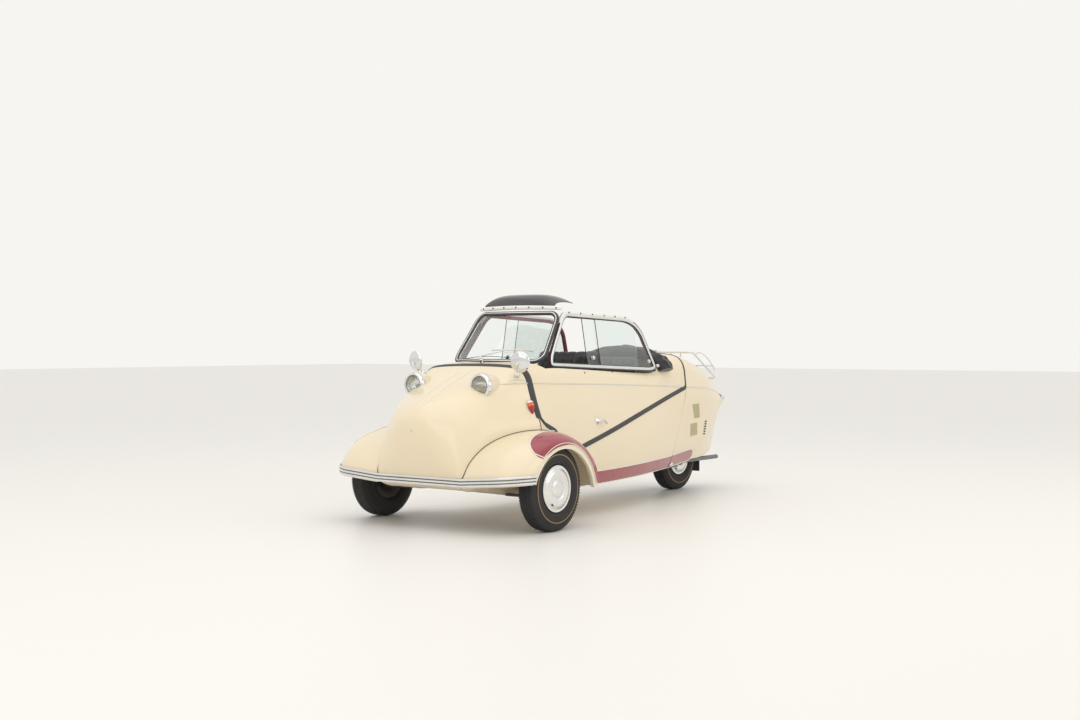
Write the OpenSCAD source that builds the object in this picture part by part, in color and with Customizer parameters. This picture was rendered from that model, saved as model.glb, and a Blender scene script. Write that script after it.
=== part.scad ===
// Three-wheeled tandem bubble car with an open folding roof, in millimetres.
// Frame: +X is the car's left, +Y its rear, +Z up, origin on the ground under the middle.
// Panels are as thick as the whole wall, and every piece is drawn in its own place.

/* [Wheels] */
// Distance from the front axle to the rear axle
wheelbase = 2030; // [1990:10:2050]
// Distance between the middles of the two front tyres
front_track = 1070; // [1060:5:1080]
// Outer radius of every tyre
tyre_r = 205; // [200:1:208]
// Width of every tyre
tyre_w = 100; // [90:1:104]
// Radius of the rim's edge
rim_r = 113; // [108:1:118]
// Distance from the middle of the front tyre in to the kingpin
kingpin_in = 72; // [66:1:78]

/* [Body] */
// Thickness of the body's walls
wall_t = 20; // [14:1:24]
// Thickness of the front fenders
fender_t = 5; // [4:1:8]
// Widest reach of a front fender from the middle
fender_w = 604; // [600:1:606]
// Gap left around the canopy and the tail cover
panel_gap = 8; // [6:1:12]

/* [Canopy] */
// Slope of the side windows from upright, in degrees
window_lean = 9.2; // [7:0.1:11]
// Width of the side windows' frames
frame_w = 17; // [12:1:22]
// Thickness of the glass
glass_t = 5; // [4:0.5:7]
// Distance from the middle to the canopy's hinge pins
canopy_hinge_x = 356; // [352:1:360]
// Height of the canopy's hinge pins
canopy_hinge_z = 722; // [712:1:732]

/* [Tail] */
// Height of the tail cover's hinge pins
tail_hinge_z = 852; // [850:1:856]
// Radius of the luggage rack's main tubes
rack_tube_r = 6; // [5:0.5:8]

/* [Hidden] */
$fn = 48;
front_y = -1020;
rear_y = front_y + wheelbase;
wheel_x = front_track / 2;
kingpin_x = wheel_x - kingpin_in;
cowl_y = -920;
seam_y = 680;
tail_hinge_y = 676;
axle_r = 12;
pin_r = 8;
run_fit = 0.05;

IVORY = [0.93, 0.88, 0.76];
CRIMSON = [0.55, 0.06, 0.12];
RUBBER = [0.13, 0.13, 0.14];
CHROME = [0.80, 0.81, 0.83];
DARK = [0.07, 0.07, 0.08];
STEEL = [0.40, 0.40, 0.42];
CLEAR = [0.75, 0.85, 0.88, 0.35];

// ---- Curves and lofts ----

// Slope of column c at row i of a table whose first column is the station
function slope(t, i, c) =
    let (a = max(i - 1, 0), b = min(i + 1, len(t) - 1))
    (t[b][c] - t[a][c]) / (t[b][0] - t[a][0]);

// Smooth value of column c between rows i and i + 1, u running from 0 to 1
function between(t, i, c, u) =
    let (h = t[i + 1][0] - t[i][0],
         m0 = slope(t, i, c) * h, m1 = slope(t, i + 1, c) * h,
         d = t[i + 1][c] - t[i][c],
         k = 3 * abs(d),
         s0 = max(min(m0, k), -k), s1 = max(min(m1, k), -k))
    t[i][c] + u * (s0 + u * (3 * d - 2 * s0 - s1 + u * (s0 + s1 - 2 * d)));

// Row of the table worked out at any station y
function row_at(t, y) =
    let (n = len(t) - 2,
         found = [for (i = [0 : n]) if (y <= t[i + 1][0] || i == n) i],
         i = found[0],
         u = (y - t[i][0]) / (t[i + 1][0] - t[i][0]))
    [for (c = [0 : len(t[0]) - 1]) c == 0 ? y : between(t, i, c, u)];

// Corner b of a polygon, rounded over the share k of both its sides in n steps
function bend(a, b, c, k, n) =
    let (p = b + (a - b) * k, q = b + (c - b) * k)
    [for (i = [0 : n]) let (u = i / n)
        p * (1 - u) * (1 - u) + b * 2 * u * (1 - u) + q * u * u];

// A sheet between an outer and an inner grid of points. keep says which cells are there,
// and the edges of the missing ones are closed.
module sheet(outer, inner, keep = []) {
    rows = len(outer);
    cols = len(outer[0]);
    n = rows * cols;
    function there(i, j) = i >= 0 && j >= 0 && i < rows - 1 && j < cols - 1
        && (len(keep) == 0 || keep[i][j]);
    faces = [for (i = [0 : rows - 2], j = [0 : cols - 2]) if (there(i, j))
        let (a = i * cols + j, b = a + 1, c = b + cols, d = a + cols)
        each concat(
            [[a, b, c], [a, c, d], [a + n, c + n, b + n], [a + n, d + n, c + n]],
            there(i - 1, j) ? [] : [[a, a + n, b + n], [a, b + n, b]],
            there(i + 1, j) ? [] : [[c, c + n, d + n], [c, d + n, d]],
            there(i, j - 1) ? [] : [[d, d + n, a + n], [d, a + n, a]],
            there(i, j + 1) ? [] : [[b, b + n, c + n], [b, c + n, c]])];
    polyhedron([each [for (r = outer) each r], each [for (r = inner) each r]], faces);
}

// A round tube of n sides along a list of points
module tube(points, r, n = 10) {
    m = len(points);
    function along(i) = let (v = points[min(i + 1, m - 1)] - points[max(i - 1, 0)]) v / norm(v);
    rings = [for (i = [0 : m - 1])
        let (t = along(i), s = abs(t[2]) > 0.9 ? [1, 0, 0] : [0, 0, 1],
             e = cross(t, s) / norm(cross(t, s)), f = cross(e, t))
        [for (k = [0 : n - 1]) points[i] + r * (e * cos(k * 360 / n) + f * sin(k * 360 / n))]];
    sides = [for (i = [0 : m - 2], k = [0 : n - 1])
        let (a = i * n + k, b = i * n + (k + 1) % n)
        each [[a, b, a + n], [b, b + n, a + n]]];
    ends = [for (k = [1 : n - 2]) each [[0, k + 1, k],
        [(m - 1) * n, (m - 1) * n + k, (m - 1) * n + k + 1]]];
    polyhedron([for (q = rings) each q], concat(sides, ends));
}

// A flat piece drawn in the side view (y, z), running from x0 to x1
module side_slab(points, x0, x1) {
    translate([x0, 0, 0]) rotate([90, 0, 90])
        linear_extrude(x1 - x0) polygon(points);
}

// Both sides of the car
module both() {
    children();
    mirror([1, 0, 0]) children();
}

// ---- The body's surface ----

// Half sections of the body, front to rear. Columns: y, then height and half width
// of the bottom corner, the lower side, the upper side and the shoulder, and then
// height and half width of the flat crown.
BODY = [
    [-1410, 466, 18, 474, 36, 490, 36, 500, 24, 506, 10],
    [-1405, 425, 45, 446, 76, 490, 70, 524, 50, 536, 20],
    [-1395, 378, 80, 394, 126, 486, 116, 534, 84, 555, 32],
    [-1380, 318, 150, 338, 190, 474, 156, 544, 110, 573, 44],
    [-1358, 262, 250, 290, 262, 464, 200, 556, 136, 592, 58],
    [-1320, 205, 285, 330, 284, 476, 240, 578, 178, 616, 74],
    [-1220, 185, 300, 425, 314, 534, 280, 628, 220, 665, 100],
    [-1120, 170, 320, 462, 350, 572, 304, 676, 256, 709, 124],
    [-1020, 155, 345, 470, 392, 595, 332, 716, 292, 746, 154],
    [ -920, 150, 365, 462, 425, 600, 366, 768, 318, 785, 190],
    [ -720, 150, 380, 400, 420, 600, 378, 786, 324, 815, 190],
    [ -520, 150, 385, 350, 415, 600, 375, 780, 320, 800, 190],
    [ -220, 154, 375, 340, 402, 590, 362, 764, 312, 790, 180],
    [   80, 160, 345, 340, 372, 580, 342, 748, 303, 790, 170],
    [  291, 166, 310, 340, 345, 580, 325, 742, 297, 800, 150],
    [  430, 170, 285, 340, 322, 585, 312, 772, 285, 820, 140],
    [  680, 172, 235, 340, 280, 590, 292, 812, 268, 840, 110],
    [  965, 172, 185, 340, 232, 560, 258, 745, 232, 785,  90],
    [ 1130, 182, 150, 345, 190, 545, 222, 682, 195, 718,  80],
    [ 1274, 215, 105, 360, 135, 530, 180, 608, 158, 640,  75],
    [ 1350, 235,  45, 380,  70, 525, 155, 570, 142, 590,  75],
    [ 1375, 450,  40, 480,  90, 525, 148, 558, 138, 570,  75],
    [ 1400, 515,  70, 524, 110, 536, 136, 548, 130, 554,  70]
];
STATIONS = [-1410, -1405, -1395, -1380, -1358, -1340, -1320, -1270, -1220, -1120,
    -1020, -920, -820, -720, -520, -370, -220, -70, 80, 190, 291, 360, 430, 555, 680,
    770, 870, 965, 1050, 1130, 1205, 1274, 1350, 1375, 1400];

// One side of a section, from the bottom corner to the middle of the crown, moved in by t
function half_section(y, t) =
    let (r = row_at(BODY, y),
         p0 = [0, r[1] + t],
         p1 = [max(r[2] - t, 2), r[1] + t],
         p2 = [max(r[4] - t, 3), r[3]],
         p3 = [max(r[6] - t, 3), r[5]],
         p4 = [max(r[8] - t, 2.5), r[7] - t / 2],
         p5 = [max(r[10], 1.5), r[9] - t])
    concat(bend(p0, p1, p2, 0.2, 2), bend(p1, p2, p3, 0.42, 3),
        bend(p2, p3, p4, 0.45, 3), bend(p3, p4, p5, 0.42, 4), [p5, [0, r[9] - t]]);
LAST = 17;
OPEN_EDGE = 13;

// Position of height z on the side of a half section, as a fractional index
function place_of(h, z) =
    let (hit = [for (i = [0 : OPEN_EDGE]) if (h[i + 1][1] >= z) i][0], i = hit == undef ? 0 : hit,
         u = (z - h[i][1]) / max(h[i + 1][1] - h[i][1], 0.001))
    i + max(0, min(1, u));

// Point of the body at station y and fractional index k, moved in by t. side is 1 or -1,
// and an index under 0 is the middle of the bottom.
// The ends of the car curve round, so there the wall's inside also moves along Y.
function body_point(side, y, k, t) =
    let (s = y + t * max(0, min(1, (-1358 - y) / 52)) - t * max(0, min(1, (y - 1350) / 50)),
         h = half_section(s, t), i = max(0, min(floor(k), LAST - 1)),
         p = k < 0 ? [0.3, h[0][1]] : h[i] + (h[i + 1] - h[i]) * (k - i))
    [side * p[0], s, p[1]];

// Half width of the body at station y and height z
function half_width(y, z) =
    let (h = half_section(y, 0), k = place_of(h, z), i = floor(k))
    (h[i] + (h[i + 1] - h[i]) * (k - i))[0];

// Part of the body's wall. rows lists stations, and cols lists [side, fractional index];
// both are worked out by the panel that calls this, as a grid of [side, y, k].
module wall(grid, t_out = 0, t_in = wall_t, keep = []) {
    sheet([for (r = grid) [for (c = r) body_point(c[0], c[1], c[2], t_out)]],
        [for (r = grid) [for (c = r) body_point(c[0], c[1], c[2], t_in)]], keep);
}

// Height of the canopy's lower edge at station y: the left side drops to the diagonal
DOOR_EDGE = [[-920, 540], [-882, 492], [-800, 456], [-700, 386], [-640, 348], [672, 634]];
function door_z(y) = lookup(y, DOOR_EDGE);
function canopy_z(side, y) = side > 0 ? door_z(y) : canopy_hinge_z;
// Station of the tail cover's front edge at height z
function tail_y(z) = lookup(z, [[170, 480], [634, seam_y], [635, seam_y]]);

// Stations of the pieces between the cowl and the tail cover
MIDDLE = [-916, -882, -840, -800, -760, -700, -640, -560, -460, -340, -220, -100, 20, 120, 210,
    291, 350, 400, 450, 540, 610, 668];

module nose_shell() color(IVORY) {
    rows = [for (y = [for (s = STATIONS) if (s < cowl_y) s, cowl_y - 4]) y];
    // The first and last column close the chin, down to the bumper trim
    grid = [for (y = rows) concat([[1, y, -1]], [for (k = [0 : LAST - 1]) [1, y, k]],
        [for (k = [LAST : -1 : -1]) [-1, y, k]])];
    n = len(grid[0]) - 1;
    wall(grid, 0, wall_t, [for (i = [0 : len(rows) - 2]) [for (j = [0 : n - 1])
        rows[i + 1] <= -1320 || (j > 0 && j < n - 1)]]);
    // Raised rib along the middle of the hood
    sheet([for (p = HOOD_RIB) [for (x = [9, 7, -7, -9]) [x, p[0], p[1] + (abs(x) > 8 ? 1 : 7)]]],
        [for (p = HOOD_RIB) [for (x = [9, 7, -7, -9]) [x, p[0], p[1] + 0.3]]]);
}
HOOD_RIB = [for (y = [-1392 : 42 : cowl_y - 10]) [y, row_at(BODY, y)[9]]];

// One side wall of the tub; side is 1 for the left and -1 for the right
module side_panel(side) {
    cols = 7;
    wall([for (y = MIDDLE) [for (j = side > 0 ? [0 : cols] : [cols : -1 : 0])
        let (end_z = 198 + (canopy_z(side, seam_y) - panel_gap - 198) * j / cols,
             s = -916 + (y + 916) * (tail_y(end_z) - panel_gap + 916) / (668 + 916),
             z = 198 + (canopy_z(side, s) - panel_gap - 198) * j / cols,
             h = half_section(s, 0))
        [side, s, place_of(h, z)]]]);
}

module side_panels() color(IVORY) {
    side_panel(1);
    side_panel(-1);
}

// Floor with its rounded edges, and the bulkheads before the feet and behind the rear seat
module floor_pan() color([0.78, 0.72, 0.60]) {
    wall([for (y = MIDDLE) if (y < 470)
        let (k = place_of(half_section(y, 0), 188))
        concat([for (i = [0 : 3]) [-1, y, k * (3 - i) / 3]], [for (i = [0 : 3]) [1, y, k * i / 3]])]);
    for (y = [-914, 440]) {
        inside = [for (k = [0 : LAST - 1]) body_point(1, y, k, wall_t + 7)];
        translate([0, y + 12, 0]) rotate([90, 0, 0]) linear_extrude(12) polygon([
            for (p = inside) if (p[2] > 185) [p[0], min(p[2], 690)],
            for (i = [len(inside) - 1 : -1 : 0]) if (inside[i][2] > 185)
                [-inside[i][0], min(inside[i][2], 690)]]);
    }
}

// ---- Front fenders ----

// Centre of the fender's outline in the side view, and its half lengths
fender_y = front_y + 67;
fender_z = 215;
fender_front = 404;
fender_back = 262;
fender_top = 258;
fender_round = 148;
arch_y = front_y + 25;
arch_z = 145;
arch_r = 250;

// How far the fender's front edge climbs outward from the nose
function fender_lift(w, x) = 26 * max(0, min(1, (x - 267) / 337)) * max(0, (w - 120) / 60);

// Point of the fender at angle w round its side outline (180 is the front) and at x,
// moved in by t
function fender_point(w, x, t) =
    let (u = max(0, min(1, (x - (fender_w - fender_round)) / fender_round)), d = 1 - sqrt(1 - u * u),
         a = fender_front - fender_round * d - t,
         b = fender_top - 79 * d - t,
         c = fender_back - 20 * d - t)
    [x - t * u, fender_y + (w > 90 ? a : c) * cos(w), fender_z + b * sin(w) + fender_lift(w, x)];

// Where the fender meets the body at angle w
function fender_root(w) =
    let (p = fender_point(w, 400, 0)) max(half_width(p[1], p[2]) + 4, 276);

// Lip of the wheel arch at angle w
function fender_lip(w, t) =
    let (q = fender_point(w, fender_w - 1, 0), v = atan2(q[2] - arch_z, q[1] - arch_y))
    [fender_w - 1 - t, arch_y + arch_r * cos(v), arch_z + arch_r * sin(v)];

FENDER_W = [180, 172, 163, 153, 142, 131, 120, 108, 96, 84, 72, 60, 48, 36, 24, 12, 0, -5];
FENDER_U = [0, 0.25, 0.5, 0.7, 0.85, 0.95];

module fender() {
    function across(w) = let (x0 = fender_root(w), x1 = fender_w - fender_round)
        concat([for (u = [0, 0.35, 0.7]) x0 + (x1 - x0) * u], [for (u = FENDER_U) x1 + fender_round * u]);
    function row(w, t) = concat([for (x = across(w)) fender_point(w, x, t)], [fender_lip(w, t)]);
    sheet([for (w = FENDER_W) row(w, 0)], [for (w = FENDER_W) row(w, fender_t)]);
}

module front_fenders() color(IVORY) both() fender();

// Half outline of the bumper trim from above, g out from the body
function trim_line(g) = let (c = fender_y - fender_front + fender_round, r = fender_round + g)
    concat([[0, c - r], [270, c - r]],
        [for (i = [0 : 14]) let (w = i * 6) [fender_w - fender_round + r * sin(w), c - r * cos(w)]]);

// Three ribs, one above the other
module bumper_trim() {
    function half(g, s) = [for (p = trim_line(g))
        [for (z = [219, 239, 259]) [s * p[0], p[1], z + fender_lift(180, p[0])]]];
    function whole(g) = let (a = half(g, -1), b = half(g, 1))
        concat([for (i = [len(a) - 1 : -1 : 1]) a[i]], b);
    color(CHROME) sheet(whole(6), whole(1.2));
}

// Coloured bands low on the body's sides, running to a round end on the tail
SILL = [[-680, 168], [-300, 171], [80, 176], [460, 184]];
SILL_H = 64;

module band(y0, y1) {
    both() wall([for (y = concat([y0], [for (s = MIDDLE) if (s > y0 + 8 && s < y1 - 8) s], [y1]))
        let (h = half_section(y, 0), z = lookup(y, SILL))
        [for (u = [0 : 4]) [1, y, place_of(h, z + SILL_H * u / 4)]]], -4.6, -1.9);
}

module sill_bands() color(CRIMSON) {
    band(-680, 460);
}

// ---- Lamps and fittings on the nose ----

module headlight_pods() color(IVORY) both() {
    translate([212, -1151, 688]) rotate([-90, 0, 0]) rotate_extrude()
        polygon([[50, 0], [60, 0], [62, 6], [61, 30], [56, 70], [44, 115], [24, 150], [0, 160],
            [0, 150], [20, 141], [38, 110], [50, 66], [53, 14], [50, 10]]);
}

module headlight_lenses() color([0.86, 0.88, 0.9]) both() {
    translate([212, -1151, 688]) rotate([-90, 0, 0]) rotate_extrude()
        polygon([[0, -16], [20, -14], [38, -8], [49.5, 0], [49.5, 9.5], [38, 25], [0, 40]]);
}

module indicators() color([0.85, 0.35, 0.05]) both() {
    translate([half_width(-950, 590) + 19, -950, 590]) rotate([0, -18, 0]) hull() {
        translate([0, 0, 20]) sphere(r = 14, $fn = 20);
        translate([-4, 0, -38]) sphere(r = 5, $fn = 20);
    }
}

module mirrors() color(CHROME) both() {
    translate([337, -997, 803]) rotate([-82, 0, 12]) cylinder(r = 53, h = 12, center = true);
    tube([[334, -985, 795], [326, -968, 788], [312, -972, 774], [306, -975, 757]], 5);
    translate([306, -975, 750]) cylinder(r = 14, h = 12, center = true);
}

// ---- Inside ----

module dashboard() color(IVORY) {
    hull() {
        translate([-240, -725, 712]) cube([480, 16, 44]);
        translate([-215, -748, 724]) cube([430, 16, 30]);
    }
}

// Steering column; its top end is the pin that the handlebar turns on
module steering_column() color(STEEL) translate([0, -650, 745]) rotate([-25, 0, 0]) {
    translate([0, 0, -417]) cylinder(r = 18, h = 397);
    translate([0, 0, -30]) cylinder(r = pin_r, h = 34);
}

// Seat cushion and backrest: half width, front y, base z, back y, top z
module seat(w, y0, z0, y1, z1) {
    side_slab([[y0, z0], [y0, z0 + 110], [y0 + 30, z0 + 130], [y1 - 90, z0 + 105],
        [y1 - 10, z1 - 20], [y1 + 25, z1], [y1 + 60, z1 - 15], [y1 + 15, z0]], -w, w);
}

module front_seat() color(DARK) seat(225, -430, 260, -130, 885);
module rear_seat() color(DARK) seat(215, 40, 250, 262, 850);

module engine() color(STEEL) {
    translate([-130, 500, 240]) cube([260, 270, 280]);
}

// ---- Running gear ----

// Wheel turning about the X axis at the origin: rim, disc and cap, outer face at +X
module wheel_body() {
    rotate([0, 90, 0]) rotate_extrude($fn = 96) polygon([
        [axle_r + run_fit, -22], [60, -22], [78, -34], [96, -38], [rim_r, -40], [rim_r, -34],
        [102, -30], [98, 20], [104, 34], [rim_r, 36], [rim_r, 42], [98, 42], [80, 44],
        [52, 52], [46, 57], [20, 60], [0, 60], [0, 48], [axle_r + run_fit, 48]]);
}

module tyre_body() {
    h = tyre_w / 2;
    rotate([0, 90, 0]) rotate_extrude($fn = 96) polygon([
        [rim_r + 0.2, -h + 16], [rim_r + 14, -h + 6], [150, -h], [172, -h + 2], [190, -h + 10],
        [200, -h + 18], [tyre_r, -28], [tyre_r, 28], [200, h - 18], [190, h - 10],
        [172, h - 2], [150, h], [rim_r + 14, h - 6], [rim_r + 0.2, h - 16]]);
}

module front_left_tyre() color(RUBBER) translate([wheel_x, front_y, tyre_r]) tyre_body();
module front_left_wheel() color(CHROME) translate([wheel_x, front_y, tyre_r]) wheel_body();
module front_right_tyre() color(RUBBER) translate([-wheel_x, front_y, tyre_r]) tyre_body();
module front_right_wheel() color(CHROME)
    translate([-wheel_x, front_y, tyre_r]) mirror([1, 0, 0]) wheel_body();
module rear_tyre() color(RUBBER) translate([0, rear_y, tyre_r]) tyre_body();
module rear_wheel() color(CHROME) translate([0, rear_y, tyre_r]) wheel_body();

// Knuckle that swings on the kingpin and carries the stub axle and brake drum
module knuckle() {
    difference() {
        union() {
            translate([kingpin_x, front_y, tyre_r - 27]) cylinder(r = 17, h = 56);
            translate([kingpin_x, front_y, tyre_r]) rotate([0, 90, 0]) cylinder(r = 15, h = 30);
            translate([kingpin_x + 26, front_y, tyre_r]) rotate([0, 90, 0]) cylinder(r = 52, h = 18);
            translate([kingpin_x + 30, front_y, tyre_r]) rotate([0, 90, 0])
                cylinder(r = axle_r, h = wheel_x + 44 - kingpin_x - 30);
            translate([kingpin_x - 6, front_y, tyre_r - 24]) cube([12, 100, 10]);
        }
        translate([kingpin_x, front_y, 0]) cylinder(r = pin_r + run_fit, h = 400);
    }
}

module left_knuckle() color(STEEL) knuckle();
module right_knuckle() color(STEEL) mirror([1, 0, 0]) knuckle();

// Two arms a side, the pin between their eyes, and the cross tubes in the body
module front_suspension() color(STEEL) both() {
    for (z = [tyre_r - 44, tyre_r + 34]) {
        x0 = half_width(front_y, z + 6) + 3;
        translate([kingpin_x, front_y, z]) cylinder(r = 16, h = 12);
        translate([x0, front_y - 70, z]) cube([kingpin_x - x0, 26, 12]);
        translate([kingpin_x - 14, front_y - 60, z]) cube([14, 60, 12]);
    }
    translate([kingpin_x, front_y, tyre_r - 48]) cylinder(r = pin_r, h = 98);
}

module handlebar() color(RUBBER) {
    translate([0, -650, 745]) rotate([-25, 0, 0]) {
        difference() {
            translate([0, 0, -16]) cylinder(r = 22, h = 32);
            translate([0, 0, -17]) cylinder(r = pin_r + run_fit, h = 24);
        }
        for (s = [-1, 1]) {
            tube([[s * 22.5, 0, 0], [s * 90, 0, 10], [s * 130, 20, 20], [s * 160, 45, 22],
                [s * 190, 75, 20]], 11);
        }
    }
}

module rear_swing_arm() color(STEEL) {
    translate([-78, 700, tyre_r - 15]) cube([14, rear_y - 700 + 30, 30]);
    translate([-78, 690, tyre_r - 15]) cube([156, 20, 30]);
    translate([-78, rear_y, tyre_r]) rotate([0, 90, 0]) cylinder(r = axle_r, h = 125);
}

module exhaust_pipe() color(DARK) {
    translate([110, 830, 184]) rotate([-90, 0, 0]) difference() {
        cylinder(r = 13, h = 522);
        translate([0, 0, 371]) cylinder(r = 10.5, h = 152);
    }
    translate([84, 560, 156]) cube([56, 269, 60]);
}

module mud_flap() color(DARK) {
    translate([-50, 1240, 96]) cube([100, 6, 140]);
}

// ---- Hinges ----

CANOPY_HINGES = [-560, -200, 140];
TAIL_HINGES = [-70, 70];

// Brackets on the body with the pins of the canopy's hinges and of the tail cover's hinges
module hinge_brackets() color(CHROME) {
    for (y = CANOPY_HINGES) {
        x1 = -half_width(y, canopy_hinge_z - 34) - 1;
        translate([-canopy_hinge_x, y - 22, canopy_hinge_z]) rotate([-90, 0, 0]) cylinder(r = 4, h = 44);
        translate([-canopy_hinge_x, y - 22, canopy_hinge_z]) rotate([-90, 0, 0]) cylinder(r = 8, h = 14);
        translate([-canopy_hinge_x - 3, y - 22, canopy_hinge_z - 30]) cube([6, 14, 30]);
        translate([-canopy_hinge_x - 3, y - 22, canopy_hinge_z - 32])
            cube([x1 + canopy_hinge_x + 3, 14, 8]);
    }
    for (x = TAIL_HINGES) {
        translate([x - 17, tail_hinge_y, tail_hinge_z]) rotate([0, 90, 0]) cylinder(r = 3, h = 34);
        translate([x - 17, tail_hinge_y, tail_hinge_z]) rotate([0, 90, 0]) cylinder(r = 6, h = 14);
        translate([x - 17, tail_hinge_y - 2, 560]) cube([14, 4, tail_hinge_z - 560]);
    }
    // Crossbar inside the seam that carries the tail cover's brackets
    translate([-180, tail_hinge_y - 2, 552]) cube([360, 4, 8]);
}

module canopy_hinge_leaves() color(CHROME) {
    for (y = CANOPY_HINGES) {
        x1 = -half_width(y, canopy_hinge_z + 12) - 0.8;
        difference() {
            union() {
                translate([-canopy_hinge_x, y - 7, canopy_hinge_z]) rotate([-90, 0, 0])
                    cylinder(r = 8, h = 28);
                translate([-canopy_hinge_x - 3, y - 7, canopy_hinge_z]) cube([6, 28, 19]);
                translate([-canopy_hinge_x - 3, y - 7, canopy_hinge_z + 14])
                    cube([x1 + canopy_hinge_x + 3, 28, 5]);
            }
            translate([-canopy_hinge_x, y - 40, canopy_hinge_z]) rotate([-90, 0, 0])
                cylinder(r = 4 + run_fit, h = 90);
        }
    }
}

module tail_hinge_leaves() color(CHROME) {
    for (x = TAIL_HINGES) {
        difference() {
            union() {
                translate([x - 2, tail_hinge_y, tail_hinge_z]) rotate([0, 90, 0]) cylinder(r = 6, h = 19);
                translate([x - 2, tail_hinge_y, tail_hinge_z - 5]) cube([19, 46, 4]);
            }
            translate([x - 40, tail_hinge_y, tail_hinge_z]) rotate([0, 90, 0])
                cylinder(r = 3 + run_fit, h = 80);
        }
    }
}

// ---- Canopy ----

// Rows of the canopy's panels: station at the sides, and in the middle
CANOPY_ROWS = [[-916, -916], [-882, -894], [-830, -862], [-757, -824],
    [-700, 0], [-640, 0], [-560, 0], [-460, 0], [-340, 0], [-220, 0], [-100, 0], [20, 0],
    [120, 0], [210, 0], [291, 0], [358, 398],
    [400, 430], [450, 470], [540, 550], [610, 615], [668, 668]];
SCREEN_ROW = 3;
DECK_ROW = 15;

// Cowl, door panel, right rail and rear deck in one piece round the open cockpit
module canopy_shell() {
    side = 8;
    top = 8;
    cols = 2 * side + top;
    function cell(r, j) =
        let (y = r[0], h = half_section(y, 0), left = place_of(h, door_z(y)),
             right = place_of(h, canopy_hinge_z + panel_gap),
             u = 2 * (j - side) / top - 1)
        j <= side ? [1, y, left + (OPEN_EDGE - left) * j / side]
        : j >= side + top ? [-1, y, OPEN_EDGE + (right - OPEN_EDGE) * (j - side - top) / side]
        : [u > 0 ? -1 : 1, y + (r[1] - y) * (1 - u * u), OPEN_EDGE + (LAST - OPEN_EDGE) * (1 - abs(u))];
    keep = [for (i = [0 : len(CANOPY_ROWS) - 2]) [for (j = [0 : cols - 1])
        i < SCREEN_ROW || i >= DECK_ROW || j < side || j >= side + top]];
    color(IVORY) wall([for (r = CANOPY_ROWS) [for (j = [0 : cols]) cell(r, j)]], 0, wall_t, keep);
}

// Point on the windscreen's surface: a from -1 at the right to 1 at the left, b from
// 0 at the foot to 1 at the header
function screen(a, b) =
    let (w = 288 - 32 * b, x = a * w,
         y = (-815 + 222 * b) + (67 - 30 * b) * a * a,
         z = (826 + 229 * b) - (38 - 31 * b) * a * a)
    [x, y, z];

// A sheet on the windscreen's surface, grown by g over its edges, from t0 to t1 deep.
// A frame of it has the cells inside its outer ring left out.
module screen_sheet(g, t0, t1, frame = false) {
    n = 14;
    m = 6;
    function at(i, j, t) =
        let (edge = frame && (i == 0 || j == 0 || i == n || j == m) ? g : frame ? g - 22 : g,
             ii = frame ? max(1, min(n - 1, i)) : i, jj = frame ? max(1, min(m - 1, j)) : j,
             a = (2 * (ii - (frame ? 1 : 0)) / (n - (frame ? 2 : 0)) - 1),
             b = (jj - (frame ? 1 : 0)) / (m - (frame ? 2 : 0)),
             ka = 1 + edge / 288, kb = edge / 300,
             aa = a * ka * (1 - 0.05 * pow(abs(2 * b - 1), 6)),
             bb = -kb + b * (1 + 2 * kb), bc = 0.5 + (bb - 0.5) * (1 - 0.06 * pow(abs(a), 8)))
        screen(aa, bc) + t * [0, 0.75, -0.66];
    sheet([for (i = [0 : n]) [for (j = [0 : m]) at(i, j, t0)]],
        [for (i = [0 : n]) [for (j = [0 : m]) at(i, j, t1)]],
        frame ? [for (i = [0 : n - 1]) [for (j = [0 : m - 1])
            i == 0 || j == 0 || i == n - 1 || j == m - 1]] : []);
}

module windscreen() color(CLEAR) screen_sheet(-15.5, 0, glass_t);
module windscreen_seal() color(RUBBER) screen_sheet(10, -7, glass_t + 6, true);

// Rail over the windscreen and along the top of both side windows
module header_rail() {
    function rail(u, v) = [for (i = [0 : 14]) screen(i / 7 - 1, 1.05) + [0, u, v]];
    color(IVORY) sheet([rail(-12, 6), rail(-5, 24)], [rail(28, 6), rail(28, 24)]);
}

// Outline of a side window's frame in its own sloping plane (y, height along the slope)
sill_z = 776;
WINDOW = concat(
    bend([-614, 0], [-700, 4], [-640, 128], 0.5, 4),
    bend([-700, 4], [-520, 282], [-300, 274], 0.22, 4),
    bend([-300, 274], [170, 258], [345, -35], 0.32, 6),
    bend([170, 258], [328, -36], [-614, 0], 0.12, 4));

// A plate on the left window's sloping plane, from depth d0 to d1 outward
module on_window(d0, d1) {
    translate([300, 0, sill_z]) rotate([0, -window_lean, 0])
        translate([d0, 0, 0]) rotate([90, 0, 90]) linear_extrude(d1 - d0) children();
}

module side_window_frames() color(CHROME) both() {
    on_window(-18, 2) difference() {
        polygon(WINDOW);
        offset(delta = -frame_w) polygon(WINDOW);
    }
}

// Two sliding panes a side. The front one is slid back, so the window is open in front of it.
module window_panes() color(CLEAR) both() {
    pane(-14, -343, 146);
    pane(-7, -231, 400);
}

module pane(depth, y0, y1) {
    on_window(depth, depth + glass_t) intersection() {
        offset(delta = -frame_w - 0.4) polygon(WINDOW);
        translate([y0, -60]) square([y1 - y0, 400]);
    }
}

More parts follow.
